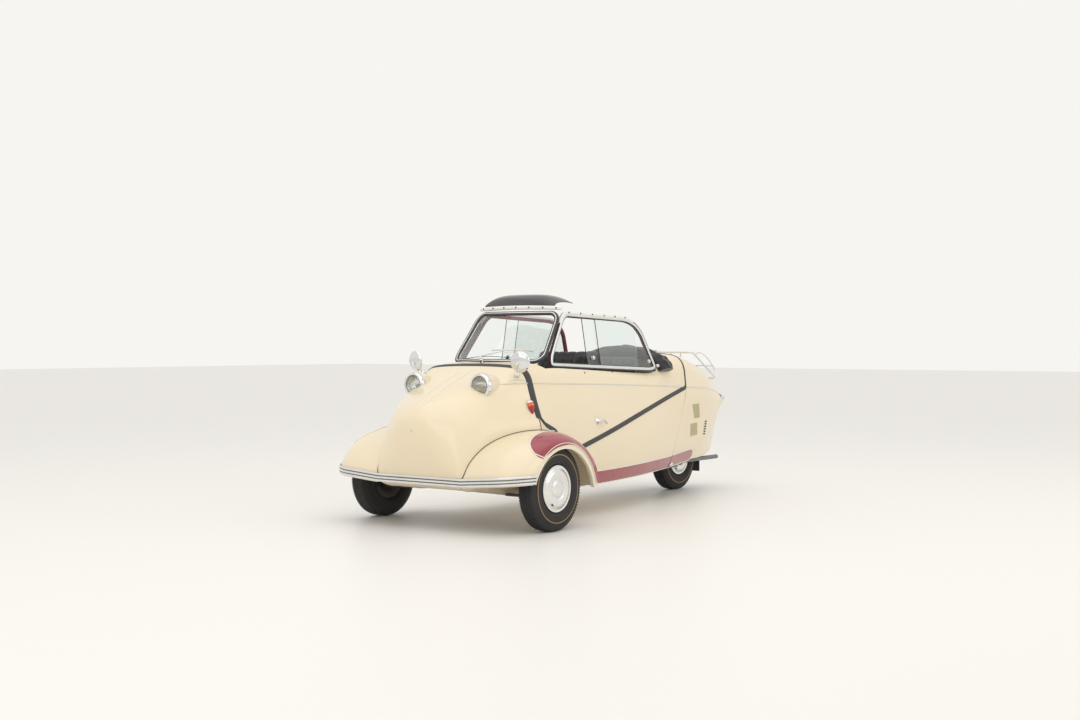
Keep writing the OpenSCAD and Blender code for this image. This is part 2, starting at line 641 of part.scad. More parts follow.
// Smoked visor standing up from the header, open to the rear
module sun_visor() {
    PROFILE = [[-2, 26], [0, 44], [10, 64], [32, 78], [64, 85], [102, 85], [138, 79], [160, 70]];
    function at(i, q, t) =
        let (a = (i / 6 - 1) * 0.90, p = screen(a, 1.05), k = 1 - 0.6 * pow(abs(a / 0.9), 5))
        p + [0, q[0] + t * 0.5, 26 + (q[1] - 26) * k + (q[1] > 30 ? -t : 0)];
    color([0.2, 0.2, 0.22]) sheet([for (i = [0 : 12]) [for (q = PROFILE) at(i, q, 0)]],
        [for (i = [0 : 12]) [for (q = PROFILE) at(i, q, 4)]]);
}

// Roof cloth folded over its hoops, lying across the deck behind the cockpit
module folded_roof() {
    function column(y, side) = let (h = half_section(y, 0), k = place_of(h, 742))
        [for (i = [0 : 5]) [side, y, k + (LAST - k) * i / 5]];
    rows = [378, 392, 420, 450, 470, 482];
    bulge = [18, 42, 56, 54, 38, 18];
    grid = [for (y = rows) let (c = column(y, 1), d = column(y, -1))
        concat(c, [for (i = [4 : -1 : 0]) d[i]])];
    color(DARK) sheet(
        [for (i = [0 : 5]) [for (c = grid[i]) body_point(c[0], c[1], c[2], -bulge[i])]],
        [for (i = [0 : 5]) [for (c = grid[i]) body_point(c[0], c[1], c[2], -9)]]);
}

module wiper() color(CHROME) {
    translate([0, -877, 812]) cylinder(r = 9, h = 20);
    tube([[0, -877, 835.5], [60, -862, 846], [130, -838, 862], [225, -797, 884]], 3, 8);
}

module door_handle() color(CHROME) {
    x = half_width(-402, 492) + 5;
    translate([x, -402, 492]) rotate([0, 90, 0]) cylinder(r = 14, h = 24);
    translate([x + 14, -412, 482]) cube([10, 80, 20]);
}

// Rubber strips along the canopy's front, lower and rear edges
module canopy_seals() {
    function hoop(y, left_z, first) = let (h = half_section(y, 0)) concat(
        [[1, y, place_of(h, left_z)]], [for (k = [first : LAST]) [1, y, k]],
        [for (k = [LAST - 1 : -1 : OPEN_EDGE]) [-1, y, k]],
        [[-1, y, place_of(h, canopy_hinge_z + panel_gap)]]);
    color(RUBBER) wall([hoop(-916, 560, 8), hoop(-891, 560, 8)], -7.4, -3.8);
    color(RUBBER) wall([hoop(640, 640, 10), hoop(664, 640, 10)], -7.4, -3.8);
    color(RUBBER) wall([for (y = concat([-890], [for (s = MIDDLE) if (s > -885 && s < 630) s], [639]))
        let (h = half_section(y, 0)) [for (z = [0, 12, 24]) [1, y, place_of(h, door_z(y) + z)]]],
        -7.4, -3.8);
}

// ---- Tail cover ----

module tail_shell() {
    rows = [0, 0.02, 0.1, 0.2, 0.3, 0.4, 0.5, 0.6, 0.7, 0.78, 0.86, 0.925, 0.96, 0.98, 1];
    function start(k) = let (h = half_section(seam_y, 0), i = max(0, min(floor(k), LAST - 1)))
        tail_y((h[i] + (h[i + 1] - h[i]) * (k - i))[1]) + panel_gap / 2;
    function place(u, k) = start(k) + (1400 - start(k)) * u;
    // The first and last columns close the end of the tail, and stay open round the wheel
    grid = [for (u = rows) concat([[1, place(u, 0), -1]], [for (k = [0 : LAST]) [1, place(u, k), k]],
        [for (k = [LAST - 1 : -1 : 0]) [-1, place(u, k), k]], [[-1, place(u, 0), -1]])];
    n = len(grid[0]) - 1;
    color(IVORY) wall(grid, 0, wall_t, [for (i = [0 : len(rows) - 2]) [for (j = [0 : n - 1])
        rows[i] >= 0.92 || (j > 2 && j < n - 3)]]);
}

module tail_lamps() color(CRIMSON) both() {
    translate([128, 1385, 552]) sphere(r = 25, $fn = 32);
}

module luggage_rack() color(CHROME) {
    r = rack_tube_r;
    translate([-130, 965, 841]) rotate([0, 90, 0]) cylinder(r = r, h = 260);
    both() {
        tube([[130.3, 965, 841], [146, 972, 840], [154, 990, 834], [150, 1100, 776], [143, 1255, 696],
            [132, 1283, 682], [100, 1296, 677], [0.3, 1302, 675]], r);
        tube([[79, 965, 834.5], [79, 965, 787]], r - 1);
        tube([[141, 1258, 703], [130, 1284, 745], [110, 1294, 754], [0.3, 1300, 756]], r - 1);
    }
    tube([[0, 970, 835], [0, 1120, 764], [0, 1297, 682]], r - 1.5);
    tube([[0, 1301, 682], [0, 1300, 750]], r - 1.5);
}

// ---- Selection ----

nose_shell();
side_panels();
floor_pan();
front_fenders();
bumper_trim();
sill_bands();
headlight_pods();
headlight_lenses();
indicators();
mirrors();
dashboard();
steering_column();
front_seat();
rear_seat();
engine();
rear_swing_arm();
front_suspension();
exhaust_pipe();
mud_flap();
hinge_brackets();
left_knuckle();
right_knuckle();
handlebar();
front_left_tyre();
front_left_wheel();
front_right_tyre();
front_right_wheel();
rear_tyre();
rear_wheel();
canopy_shell();
canopy_seals();
canopy_hinge_leaves();
windscreen();
windscreen_seal();
header_rail();
side_window_frames();
window_panes();
sun_visor();
folded_roof();
wiper();
door_handle();
tail_shell();
tail_hinge_leaves();
tail_lamps();
luggage_rack();
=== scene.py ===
import bpy
import bmesh
import math
import numpy as np
from functools import lru_cache
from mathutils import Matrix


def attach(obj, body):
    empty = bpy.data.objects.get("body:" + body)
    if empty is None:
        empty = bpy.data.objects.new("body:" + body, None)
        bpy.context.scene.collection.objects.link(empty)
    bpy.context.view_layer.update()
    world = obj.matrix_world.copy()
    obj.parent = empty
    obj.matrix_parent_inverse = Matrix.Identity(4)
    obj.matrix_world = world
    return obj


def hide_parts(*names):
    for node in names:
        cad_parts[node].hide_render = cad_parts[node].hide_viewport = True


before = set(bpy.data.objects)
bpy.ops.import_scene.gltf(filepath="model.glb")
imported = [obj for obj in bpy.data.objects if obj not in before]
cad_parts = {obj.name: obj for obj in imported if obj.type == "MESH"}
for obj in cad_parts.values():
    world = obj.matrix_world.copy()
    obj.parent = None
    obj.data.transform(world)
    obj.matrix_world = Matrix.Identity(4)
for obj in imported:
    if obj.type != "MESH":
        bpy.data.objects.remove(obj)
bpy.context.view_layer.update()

# ---- Camera and studio ----
# A bare pale studio: one smooth floor, a white surround, and large soft lamps overhead
# and at the sides that give the paint long even highlights.
camera = bpy.data.objects.new("camera", bpy.data.cameras.new("camera"))
camera.location = (4.440, -6.404, 0.891)
camera.rotation_euler = (math.radians(89.349), 0, math.radians(36.36))
camera.data.lens = 46.63
camera.data.sensor_width = 36
camera.data.clip_end = 100
bpy.context.collection.objects.link(camera)
bpy.context.scene.camera = camera
bpy.context.scene.view_settings.view_transform = "Standard"

world = bpy.data.worlds.new("studio")
bpy.context.scene.world = world
world.use_nodes = True
wn = world.node_tree.nodes
wl = world.node_tree.links
wn.clear()
seen = wn.new("ShaderNodeBackground")
seen.inputs["Color"].default_value = (0.93, 0.915, 0.88, 1)
seen.inputs["Strength"].default_value = 1.0
light = wn.new("ShaderNodeBackground")
light.inputs["Color"].default_value = (1, 0.985, 0.96, 1)
light.inputs["Strength"].default_value = 0.92
path = wn.new("ShaderNodeLightPath")
either = wn.new("ShaderNodeMath")
either.operation = "MAXIMUM"
mix = wn.new("ShaderNodeMixShader")
out = wn.new("ShaderNodeOutputWorld")
wl.new(path.outputs["Is Camera Ray"], either.inputs[0])
wl.new(path.outputs["Is Transmission Ray"], either.inputs[1])
wl.new(either.outputs[0], mix.inputs[0])
wl.new(light.outputs[0], mix.inputs[1])
wl.new(seen.outputs[0], mix.inputs[2])
wl.new(mix.outputs[0], out.inputs["Surface"])

for name, place, size, power in (("overhead", (0.6, -1.2, 5.0), (7.0, 7.0), 70),
                                 ("front", (1.5, -7.0, 3.2), (5.0, 2.5), 34),
                                 ("left", (6.5, 1.0, 3.0), (5.0, 2.5), 34)):
    lamp = bpy.data.lights.new(name, "AREA")
    lamp.shape = "RECTANGLE"
    lamp.size, lamp.size_y = size
    lamp.energy = power
    lamp.color = (1.0, 0.985, 0.96)
    holder = bpy.data.objects.new(name, lamp)
    holder.location = place
    aim = np.array((0, 0, 0.4)) - np.array(place)
    holder.rotation_euler = (math.atan2(math.hypot(aim[0], aim[1]), -aim[2]), 0,
                             math.atan2(-aim[0], aim[1]))
    bpy.context.collection.objects.link(holder)

floor_mesh = bpy.data.meshes.new("floor")
floor_mesh.from_pydata([(-40, -40, 0), (40, -40, 0), (40, 40, 0), (-40, 40, 0)], [], [(0, 1, 2, 3)])
floor = bpy.data.objects.new("floor", floor_mesh)
bpy.context.collection.objects.link(floor)
floor_look = bpy.data.materials.new("floor_coating")
floor_look.use_nodes = True
fn = floor_look.node_tree.nodes
fp = fn["Principled BSDF"]
fp.inputs["Base Color"].default_value = (0.86, 0.845, 0.81, 1)
fp.inputs["Roughness"].default_value = 0.42
fp.inputs["Specular IOR Level"].default_value = 0.35
floor_mesh.materials.append(floor_look)


# ---- Body surface and the nose ----
# The nose is one hand-beaten steel pressing, lacquered in several coats of ivory. Its
# sections follow the car's lines, and a low pair of raised beads runs up its middle, whiter than the ivory as painted
# highlight on the rib's edges.
BODY = [
    [-1410, 466, 18, 474, 36, 490, 36, 500, 24, 506, 10],
    [-1405, 425, 45, 446, 76, 490, 70, 524, 50, 536, 20],
    [-1395, 378, 80, 394, 126, 486, 116, 534, 84, 555, 32],
    [-1380, 318, 150, 338, 190, 474, 156, 544, 110, 573, 44],
    [-1358, 262, 250, 290, 262, 464, 200, 556, 136, 592, 58],
    [-1320, 205, 285, 330, 284, 476, 240, 578, 178, 616, 74],
    [-1220, 185, 300, 425, 314, 534, 280, 628, 220, 665, 100],
    [-1120, 170, 320, 462, 350, 572, 304, 676, 256, 709, 124],
    [-1020, 155, 345, 470, 392, 595, 332, 716, 292, 746, 154],
    [-920, 150, 365, 462, 425, 600, 366, 768, 318, 785, 190],
    [-720, 150, 380, 400, 420, 600, 378, 786, 324, 815, 190],
    [-520, 150, 385, 350, 415, 600, 375, 780, 320, 800, 190],
    [-220, 154, 375, 340, 402, 590, 362, 764, 312, 790, 180],
    [80, 160, 345, 340, 372, 580, 342, 748, 303, 790, 170],
    [291, 166, 310, 340, 345, 580, 325, 742, 297, 800, 150],
    [430, 170, 285, 340, 322, 585, 312, 772, 285, 820, 140],
    [680, 172, 235, 340, 280, 590, 292, 812, 268, 840, 110],
    [965, 172, 185, 340, 232, 560, 258, 745, 232, 785, 90],
    [1130, 182, 150, 345, 190, 545, 222, 682, 195, 718, 80],
    [1274, 215, 105, 360, 135, 530, 180, 608, 158, 640, 75],
    [1350, 235, 45, 380, 70, 525, 155, 570, 142, 590, 75],
    [1375, 450, 40, 480, 90, 525, 148, 558, 138, 570, 75],
    [1400, 515, 70, 524, 110, 536, 136, 548, 130, 554, 70]]
CROWN = 17.0      # place of the middle of the top, counted up the side from the bottom
RAIL = 13.0       # place of the edge of the open cockpit


@lru_cache(None)
def row_at(y):
    n = len(BODY)
    i = next((j for j in range(n - 1) if y <= BODY[j + 1][0]), n - 2)
    h = BODY[i + 1][0] - BODY[i][0]
    u = (y - BODY[i][0]) / h

    def slope(j, c):
        a, b = max(j - 1, 0), min(j + 1, n - 1)
        return (BODY[b][c] - BODY[a][c]) / (BODY[b][0] - BODY[a][0])

    row = [y]
    for c in range(1, 11):
        d = BODY[i + 1][c] - BODY[i][c]
        k = 3 * abs(d)
        s0 = max(min(slope(i, c) * h, k), -k)
        s1 = max(min(slope(i + 1, c) * h, k), -k)
        row.append(BODY[i][c] + u * (s0 + u * (3 * d - 2 * s0 - s1 + u * (s0 + s1 - 2 * d))))
    return row


def section(y, k, t=0.0):
    """Half width and height of the body at station y and place k, moved in by t."""
    r = row_at(y)
    p = [np.array(q, float) for q in ((0, r[1] + t), (max(r[2] - t, 2), r[1] + t),
         (max(r[4] - t, 3), r[3]), (max(r[6] - t, 3), r[5]),
         (max(r[8] - t, 2.5), r[7] - t / 2), (max(r[10], 1.5), r[9] - t), (0, r[9] - t))]
    if k < 0:
        return p[0] * -k + (p[1] + (p[0] - p[1]) * 0.2) * (1 + k)
    ends = []
    for i, share, a, b in ((1, 0.2, 0, 2), (2, 0.42, 3, 6), (3, 0.45, 7, 10), (4, 0.42, 11, 15)):
        first = p[i] + (p[i - 1] - p[i]) * share
        last = p[i] + (p[i + 1] - p[i]) * share
        ends.append((a, first, p[i], b, last))
    ends.append((15, ends[-1][4], p[5], 17, p[6]))
    for j, (a, first, mid, b, last) in enumerate(ends):
        if k <= b:
            if k >= a:
                u = (k - a) / (b - a)
                return first * (1 - u) ** 2 + mid * 2 * u * (1 - u) + last * u * u
            before = ends[j - 1]
            u = (k - before[3]) / (a - before[3])
            return before[4] * (1 - u) + first * u
    return p[6]


def body_point(side, y, k, t=0.0):
    """Point of the body in millimetres. t moves it inward, and the ends curve round."""
    s = y + t * max(0, min(1, (-1358 - y) / 52)) - t * max(0, min(1, (y - 1350) / 50))
    x, z = section(s, k, t)
    return np.array((side * x, s, z))


def place_of(y, z):
    lo, hi = 0.0, 15.0
    for _ in range(26):
        mid = (lo + hi) / 2
        if section(y, mid)[1] < z:
            lo = mid
        else:
            hi = mid
    return lo


def on_side(side, y, z, t=0.0):
    """Point of the body's side at station y and height z."""
    return body_point(side, y, place_of(y, z), t)


def steps(values, m):
    """The list with m steps between each pair of its values."""
    v = [float(q) for q in values]
    return [a + (b - a) * i / m for a, b in zip(v, v[1:]) for i in range(m)] + [v[-1]]


def curve_through(points, m=6, closed=False):
    """Smooth curve through the points, with m steps a span."""
    p = [np.array(q, float) for q in points]
    n = len(p)
    out = []
    for i in range(n if closed else n - 1):
        a, b = p[(i - 1) % n] if closed or i else p[0], p[i]
        c, d = p[(i + 1) % n], p[(i + 2) % n] if closed or i < n - 2 else p[-1]
        for j in range(m):
            u = j / m
            out.append(0.5 * (2 * b + (c - a) * u + (2 * a - 5 * b + 4 * c - d) * u ** 2
                              + (3 * b - a - 3 * c + d) * u ** 3))
    return out if closed else out + [p[-1]]


class Shape:
    """Vertices and faces of a piece, in millimetres."""

    def __init__(self):
        self.verts, self.faces, self.looks = [], [], []

    def add(self, verts, faces, look=0):
        n = len(self.verts)
        self.verts += [tuple(v) for v in verts]
        self.faces += [tuple(n + i for i in f) for f in faces]
        self.looks += [look] * len(faces)
        return self

    def sheet(self, outer, inner, keep=None, look=0):
        """Closed sheet between two grids. keep(i, j) says which cells are there."""
        rows, cols = len(outer), len(outer[0])
        n = rows * cols

        def there(i, j):
            return 0 <= i < rows - 1 and 0 <= j < cols - 1 and (keep is None or keep(i, j))

        faces = []
        for i in range(rows - 1):
            for j in range(cols - 1):
                if not there(i, j):
                    continue
                a = i * cols + j
                b, d = a + 1, a + cols
                c = b + cols
                faces += [(a, b, c, d), (a + n, d + n, c + n, b + n)]
                faces += [] if there(i - 1, j) else [(a, a + n, b + n, b)]
                faces += [] if there(i + 1, j) else [(c, c + n, d + n, d)]
                faces += [] if there(i, j - 1) else [(d, d + n, a + n, a)]
                faces += [] if there(i, j + 1) else [(b, b + n, c + n, c)]
        flat = [v for r in outer for v in r] + [v for r in inner for v in r]
        return self.add(flat, faces, look)

    def tube(self, points, r, n=12, closed=False, look=0, profile=None, up=(0, 0, 1)):
        """Tube along the points. profile lists (sideways, upward) offsets in place of a circle."""
        p = [np.array(q, float) for q in points]
        m = len(p)
        ring = profile or [(r * math.cos(2 * math.pi * k / n), r * math.sin(2 * math.pi * k / n))
                           for k in range(n)]
        n = len(ring)
        verts = []
        for i in range(m):
            a = p[(i - 1) % m] if closed or i else p[0]
            b = p[(i + 1) % m] if closed or i < m - 1 else p[-1]
            along = (b - a) / np.linalg.norm(b - a)
            u = np.array(up(i) if callable(up) else up, float)
            if abs(along @ u) > 0.98:
                u = np.array((1.0, 0, 0)) if abs(along[0]) < 0.9 else np.array((0, 1.0, 0))
            e = np.cross(along, u)
            e /= np.linalg.norm(e)
            f = np.cross(e, along)
            verts += [p[i] + e * s + f * v for s, v in ring]
        faces = [(i * n + k, i * n + (k + 1) % n, ((i + 1) % m) * n + (k + 1) % n,
                  ((i + 1) % m) * n + k) for i in range(m if closed else m - 1) for k in range(n)]
        if not closed:
            faces += [tuple(range(n - 1, -1, -1)), tuple((m - 1) * n + k for k in range(n))]
        return self.add(verts, faces, look)

    def lathe(self, profile, centre, axis, n=48, look=0):
        """Solid turned about axis from (radius, height) pairs; the ends close on the axis."""
        c, a = np.array(centre, float), np.array(axis, float)
        a /= np.linalg.norm(a)
        e = np.cross(a, (0, 0, 1) if abs(a[2]) < 0.9 else (1, 0, 0))
        e /= np.linalg.norm(e)
        f = np.cross(a, e)
        verts, rings = [], []
        for r, h in profile:
            if r < 0.01:
                rings.append([len(verts)] * n)
                verts.append(c + a * h)
            else:
                rings.append(list(range(len(verts), len(verts) + n)))
                verts += [c + a * h + r * (e * math.cos(2 * math.pi * k / n)
                          + f * math.sin(2 * math.pi * k / n)) for k in range(n)]
        loop = list(zip(rings, rings[1:]))
        if profile[0][0] > 0.01 and profile[-1][0] > 0.01:
            loop.append((rings[-1], rings[0]))
        faces = []
        for p, q in loop:
            for k in range(n):
                face = [p[k], p[(k + 1) % n], q[(k + 1) % n], q[k]]
                face = [v for i, v in enumerate(face) if v not in face[:i]]
                if len(face) > 2:
                    faces.append(face)
        return self.add(verts, faces, look)

    def make(self, name, body, slot, looks, hides=(), sharp=38):
        mesh = bpy.data.meshes.new(name)
        mesh.from_pydata([(x / 1000, y / 1000, z / 1000) for x, y, z in self.verts], [], self.faces)
        for look in looks:
            mesh.materials.append(look)
        for face, look in zip(mesh.polygons, self.looks):
            face.material_index = look
        bm = bmesh.new()
        bm.from_mesh(mesh)
        bmesh.ops.remove_doubles(bm, verts=bm.verts, dist=2e-6)
        bmesh.ops.dissolve_degenerate(bm, dist=1e-7, edges=bm.edges)
        bmesh.ops.recalc_face_normals(bm, faces=bm.faces)
        bm.to_mesh(mesh)
        bm.free()
        mesh.shade_smooth()
        mesh.set_sharp_from_angle(angle=math.radians(sharp))
        piece = bpy.data.objects.new(name, mesh)
        bpy.context.collection.objects.link(piece)
        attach(piece, body)
        if hides:
            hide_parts(*hides)
        return piece


def shading_group():
    """Slow mottle and fine grain over a surface, each from 0 to 1."""
    g = bpy.data.node_groups.new("mottle_and_grain", "ShaderNodeTree")
    face = g.interface
    face.new_socket("Vector", in_out="INPUT", socket_type="NodeSocketVector")
    for name, value in (("Mottle Scale", 3.0), ("Grain Scale", 200.0), ("Contrast", 1.0)):
        face.new_socket(name, in_out="INPUT", socket_type="NodeSocketFloat").default_value = value
    face.new_socket("Mottle", in_out="OUTPUT", socket_type="NodeSocketFloat")
    face.new_socket("Grain", in_out="OUTPUT", socket_type="NodeSocketFloat")
    n, link = g.nodes, g.links.new
    into, outof = n.new("NodeGroupInput"), n.new("NodeGroupOutput")
    for scale, result in (("Mottle Scale", "Mottle"), ("Grain Scale", "Grain")):
        noise = n.new("ShaderNodeTexNoise")
        noise.inputs["Detail"].default_value = 5
        noise.inputs["Roughness"].default_value = 0.6
        link(into.outputs["Vector"], noise.inputs["Vector"])
        link(into.outputs[scale], noise.inputs["Scale"])
        low = n.new("ShaderNodeMath")
        low.operation = "SUBTRACT"
        low.inputs[1].default_value = 0.5
        gain = n.new("ShaderNodeMath")
        gain.operation = "MULTIPLY_ADD"
        gain.use_clamp = True
        gain.inputs[2].default_value = 0.5
        link(noise.outputs["Fac"], low.inputs[0])
        link(low.outputs[0], gain.inputs[0])
        link(into.outputs["Contrast"], gain.inputs[1])
        link(gain.outputs[0], outof.inputs[result])
    return g


MOTTLE = shading_group()


def look(name, colour, other, rough=(0.3, 0.4), metallic=0.0, coat=0.0, coat_rough=0.05,
         bump=0.0, scales=(3.0, 200.0), contrast=2.0, sheen=0.0, extra=None):
    """A finish whose colour and roughness drift slowly, with a fine grain in its surface."""
    m = bpy.data.materials.new(name)
    m.use_nodes = True
    n, link = m.node_tree.nodes, m.node_tree.links.new
    p = n["Principled BSDF"]
    p.inputs["Metallic"].default_value = metallic
    p.inputs["Coat Weight"].default_value = coat
    p.inputs["Coat Roughness"].default_value = coat_rough
    p.inputs["Sheen Weight"].default_value = sheen
    coords = n.new("ShaderNodeTexCoord")
    detail = n.new("ShaderNodeGroup")
    detail.node_tree = MOTTLE
    detail.inputs["Mottle Scale"].default_value = scales[0]
    detail.inputs["Grain Scale"].default_value = scales[1]
    detail.inputs["Contrast"].default_value = contrast
    link(coords.outputs["Object"], detail.inputs["Vector"])
    tint = n.new("ShaderNodeMix")
    tint.data_type = "RGBA"
    tint.inputs["A"].default_value = (*colour, 1)
    tint.inputs["B"].default_value = (*other, 1)
    link(detail.outputs["Mottle"], tint.inputs["Factor"])
    link(tint.outputs["Result"], p.inputs["Base Color"])
    gloss = n.new("ShaderNodeMapRange")
    gloss.inputs["To Min"].default_value, gloss.inputs["To Max"].default_value = rough
    link(detail.outputs["Grain"], gloss.inputs["Value"])
    link(gloss.outputs["Result"], p.inputs["Roughness"])
    if bump:
        raise_up = n.new("ShaderNodeBump")
        raise_up.inputs["Strength"].default_value = 0.5
        raise_up.inputs["Distance"].default_value = bump
        link(detail.outputs["Grain"], raise_up.inputs["Height"])
        link(raise_up.outputs["Normal"], p.inputs["Normal"])
    if extra:
        extra(m.node_tree, coords, p, tint)
    return m


def settle_dust(tree, coords, p, tint):
    """A little road dust on the lowest parts of the paint."""
    n, link = tree.nodes, tree.links.new
    split = n.new("ShaderNodeSeparateXYZ")
    link(coords.outputs["Object"], split.inputs[0])
    low = n.new("ShaderNodeMapRange")
    low.inputs["From Min"].default_value, low.inputs["From Max"].default_value = 0.30, 0.12
    low.inputs["To Max"].default_value = 0.30
    link(split.outputs["Z"], low.inputs["Value"])
    speck = n.new("ShaderNodeTexNoise")
    speck.inputs["Scale"].default_value = 24
    link(coords.outputs["Object"], speck.inputs["Vector"])
    amount = n.new("ShaderNodeMath")
    amount.operation = "MULTIPLY"
    link(low.outputs["Result"], amount.inputs[0])
    link(speck.outputs["Fac"], amount.inputs[1])
    dusty = n.new("ShaderNodeMix")
    dusty.data_type = "RGBA"
    dusty.inputs["B"].default_value = (0.42, 0.35, 0.25, 1)
    link(tint.outputs["Result"], dusty.inputs["A"])
    link(amount.outputs[0], dusty.inputs["Factor"])
    link(dusty.outputs["Result"], p.inputs["Base Color"])


ivory = look("ivory_lacquer", (0.83, 0.715, 0.515), (0.81, 0.69, 0.49), rough=(0.30, 0.36),
             coat=0.55, coat_rough=0.09, bump=0.00004, scales=(2.2, 420), extra=settle_dust)
chrome = look("polished_chrome", (0.80, 0.80, 0.80), (0.70, 0.70, 0.69), rough=(0.07, 0.14),
              metallic=1.0, scales=(14, 300))
alloy = look("anodised_alloy", (0.82, 0.82, 0.80), (0.74, 0.74, 0.72), rough=(0.22, 0.30),
             metallic=1.0, scales=(18, 500))
# White moulding finish for the real white beads; on the nose's middle rib it also serves as painted highlight.
white_trim_and_highlight = look("white_moulding_and_highlight", (0.86, 0.85, 0.80), (0.80, 0.78, 0.72), rough=(0.25, 0.35),
                  coat=0.3, scales=(10, 300))
rubber = look("black_rubber", (0.030, 0.031, 0.033), (0.048, 0.048, 0.050), rough=(0.42, 0.58),
              bump=0.0001, scales=(9, 350))

nose_rows = [-1410, -1409, -1407.5, -1405, -1402, -1399, -1395, -1391, -1386, -1380, -1374, -1368,
             -1363, -1358] + steps([-1350, -1320, -1220, -1120, -1020, -924], 6)
half_places = [-1] + steps(range(18), 4)
nose_columns = [(1, k) for k in half_places] + [(-1, k) for k in half_places[-2::-1]]
skin = 3.0
outer = [[body_point(s, y, k) for s, k in nose_columns] for y in nose_rows]
heart = np.array((0, -1240, 420.0))


def under_skin(p):
    """Just inside the blunt tip, toward the middle of the nose."""
    return p + (heart - p) * (skin / np.linalg.norm(heart - p))


inner = [[under_skin(body_point(s, y, k)) if y < -1330 else body_point(s, y, k, skin)
          for s, k in nose_columns] for y in nose_rows]
tip = np.array((0, -1410, 486.0))
outer.insert(0, [tip + (p - tip) * 0.02 for p in outer[0]])
inner.insert(0, [tip + np.array((0, 3.4, 0)) + (p - tip) * 0.02 for p in outer[0]])
chin_end = sum(y <= -1320 for y in nose_rows)
last = len(nose_columns) - 2
Shape().sheet(outer, inner, lambda i, j: i <= chin_end or 0 < j < last).make(
    "nose_skin", "body", "ivory_paint", [ivory], hides=["nose_shell"], sharp=60)

# Two raised beads on the nose's middle rib, in the whiter moulding finish: painted highlight along the rib's edges.
hood_highlight_beads = Shape()
for side in (-1, 1):
    line = [body_point(side, y, CROWN - 1.6 * 28 / max(section(y, 15.4)[0], 30), -1.2)
            for y in steps([-1366, -1320, -1220, -1120, -1010], 6)]
    hood_highlight_beads.tube(line, 2.2, 8)
hood_highlight_beads.make("hood_beads_painted_highlight", "body", "bright_trim", [white_trim_and_highlight])

# ---- Cowl seal ----
# A broad rubber strip lies in the seam between the nose and the canopy. It turns down
# both sides, and on the left it runs on under the door's slanting edge to the tail.
seal = Shape()


def door_z(y):
    return float(np.interp(y, (-920, -882, -800, -700, -640, 672), (540, 492, 456, 386, 348, 634)))


hoop = [(1, y_k) for y_k in np.linspace(place_of(-918, 530), CROWN, 60)]
hoop += [(-1, y_k) for y_k in np.linspace(CROWN, place_of(-918, 512), 60)[1:]]
rows = [[body_point(s, y, k, t) for s, k in hoop] for y, t in
        ((-936, -0.3), (-931, -3.8), (-916, -5.2), (-901, -4.0), (-896, -0.3))]
rows2 = [[body_point(s, y, k, 1.5) for s, k in hoop] for y in (-936, -931, -916, -901, -896)]
seal.sheet(rows, rows2)
door_line = [(y, door_z(y) - (6 if y == -640 else 0))
             for y in list(range(-910, -639, 15)) + list(np.linspace(-600, 664, 22))]

grid_out, grid_in = [], []
for (y, z) in door_line:
    grid_out.append([on_side(1, y, z + dz, t)
                     for dz, t in ((-7, -0.4), (-4, -3.6), (6, -4.4), (16, -3.6), (19, -0.4))])
    grid_in.append([on_side(1, y, z + dz, 1.5) for dz in (-7, -4, 6, 16, 19)])
seal.sheet(grid_out, grid_in)
rear_hoop = [(1, k) for k in np.linspace(place_of(660, 640), CROWN, 50)]
rear_hoop += [(-1, k) for k in np.linspace(CROWN, place_of(660, 730), 50)[1:]]
seal.sheet([[body_point(s, y, k, t) for s, k in rear_hoop]
            for y, t in ((664, -0.3), (667, -3.4), (671, -3.4), (674, -0.3))],
           [[body_point(s, y, k, 1.5) for s, k in rear_hoop] for y in (664, 667, 671, 674)])
seal.make("canopy_rubber", "canopy", "black_rubber", [rubber], hides=["canopy_seals"])

# ---- Tub sides ----
# The fixed sides are single pressings that rise to the door's diagonal on the left and to
# the hinge line on the right, and end at the tail cover's raked seam.
def tail_y(z):
    return float(np.interp(z, (170, 634), (480, 680)))


tub = Shape()
for side in (1, -1):
    out_rows, in_rows = [], []
    for f in steps(np.linspace(-916, 668, 13), 4):
        o, n = [], []
        for j in range(25):
            top_end = (634 if side > 0 else 722) - 3
            end_z = 180 + (top_end - 180) * j / 24
            s = -916 + (f + 916) * (tail_y(end_z) - 2 + 916) / 1584
            z = 180 + ((door_z(s) if side > 0 else 722) - 3 - 180) * j / 24
            o.append(on_side(side, s, z))
            n.append(on_side(side, s, z, skin))
        out_rows.append(o)
        in_rows.append(n)
    tub.sheet(out_rows, in_rows)
tub.make("tub_sides", "body", "ivory_paint", [ivory], hides=["side_panels"], sharp=60)

# ---- Canopy shell ----
# Cowl, door, right rail and rear deck are welded into one frame that tips to the right,
# round the open cockpit.
CANOPY_ROWS = [(-916, -916), (-882, -894), (-830, -862), (-757, -824), (-700, -790), (-640, 0), (-560, 0),
               (-460, 0), (-340, 0), (-220, 0), (-100, 0), (20, 0), (120, 0), (210, 0), (291, 360),
               (358, 398), (400, 430), (450, 470), (540, 550), (610, 615), (668, 668)]
FIRST_OPEN, DECK = 3, 15
STEP = 5
side_ys = steps([r[0] for r in CANOPY_ROWS], STEP)
mid_ys = steps([r[1] for r in CANOPY_ROWS], STEP)
SIDE_N, TOP_N = 20, 40


def canopy_cell(i, j, t):
    y = side_ys[i]
    if j <= SIDE_N:
        low = place_of(y, door_z(y))
        return body_point(1, y, low + (RAIL - low) * j / SIDE_N, t)
    if j >= SIDE_N + TOP_N:
        low = place_of(y, 730)
        return body_point(-1, y, RAIL + (low - RAIL) * (j - SIDE_N - TOP_N) / SIDE_N, t)
    u = 2 * (j - SIDE_N) / TOP_N - 1
    return body_point(-1 if u > 0 else 1, y + (mid_ys[i] - y) * (1 - u * u),
                      RAIL + (CROWN - RAIL) * (1 - abs(u)), t)


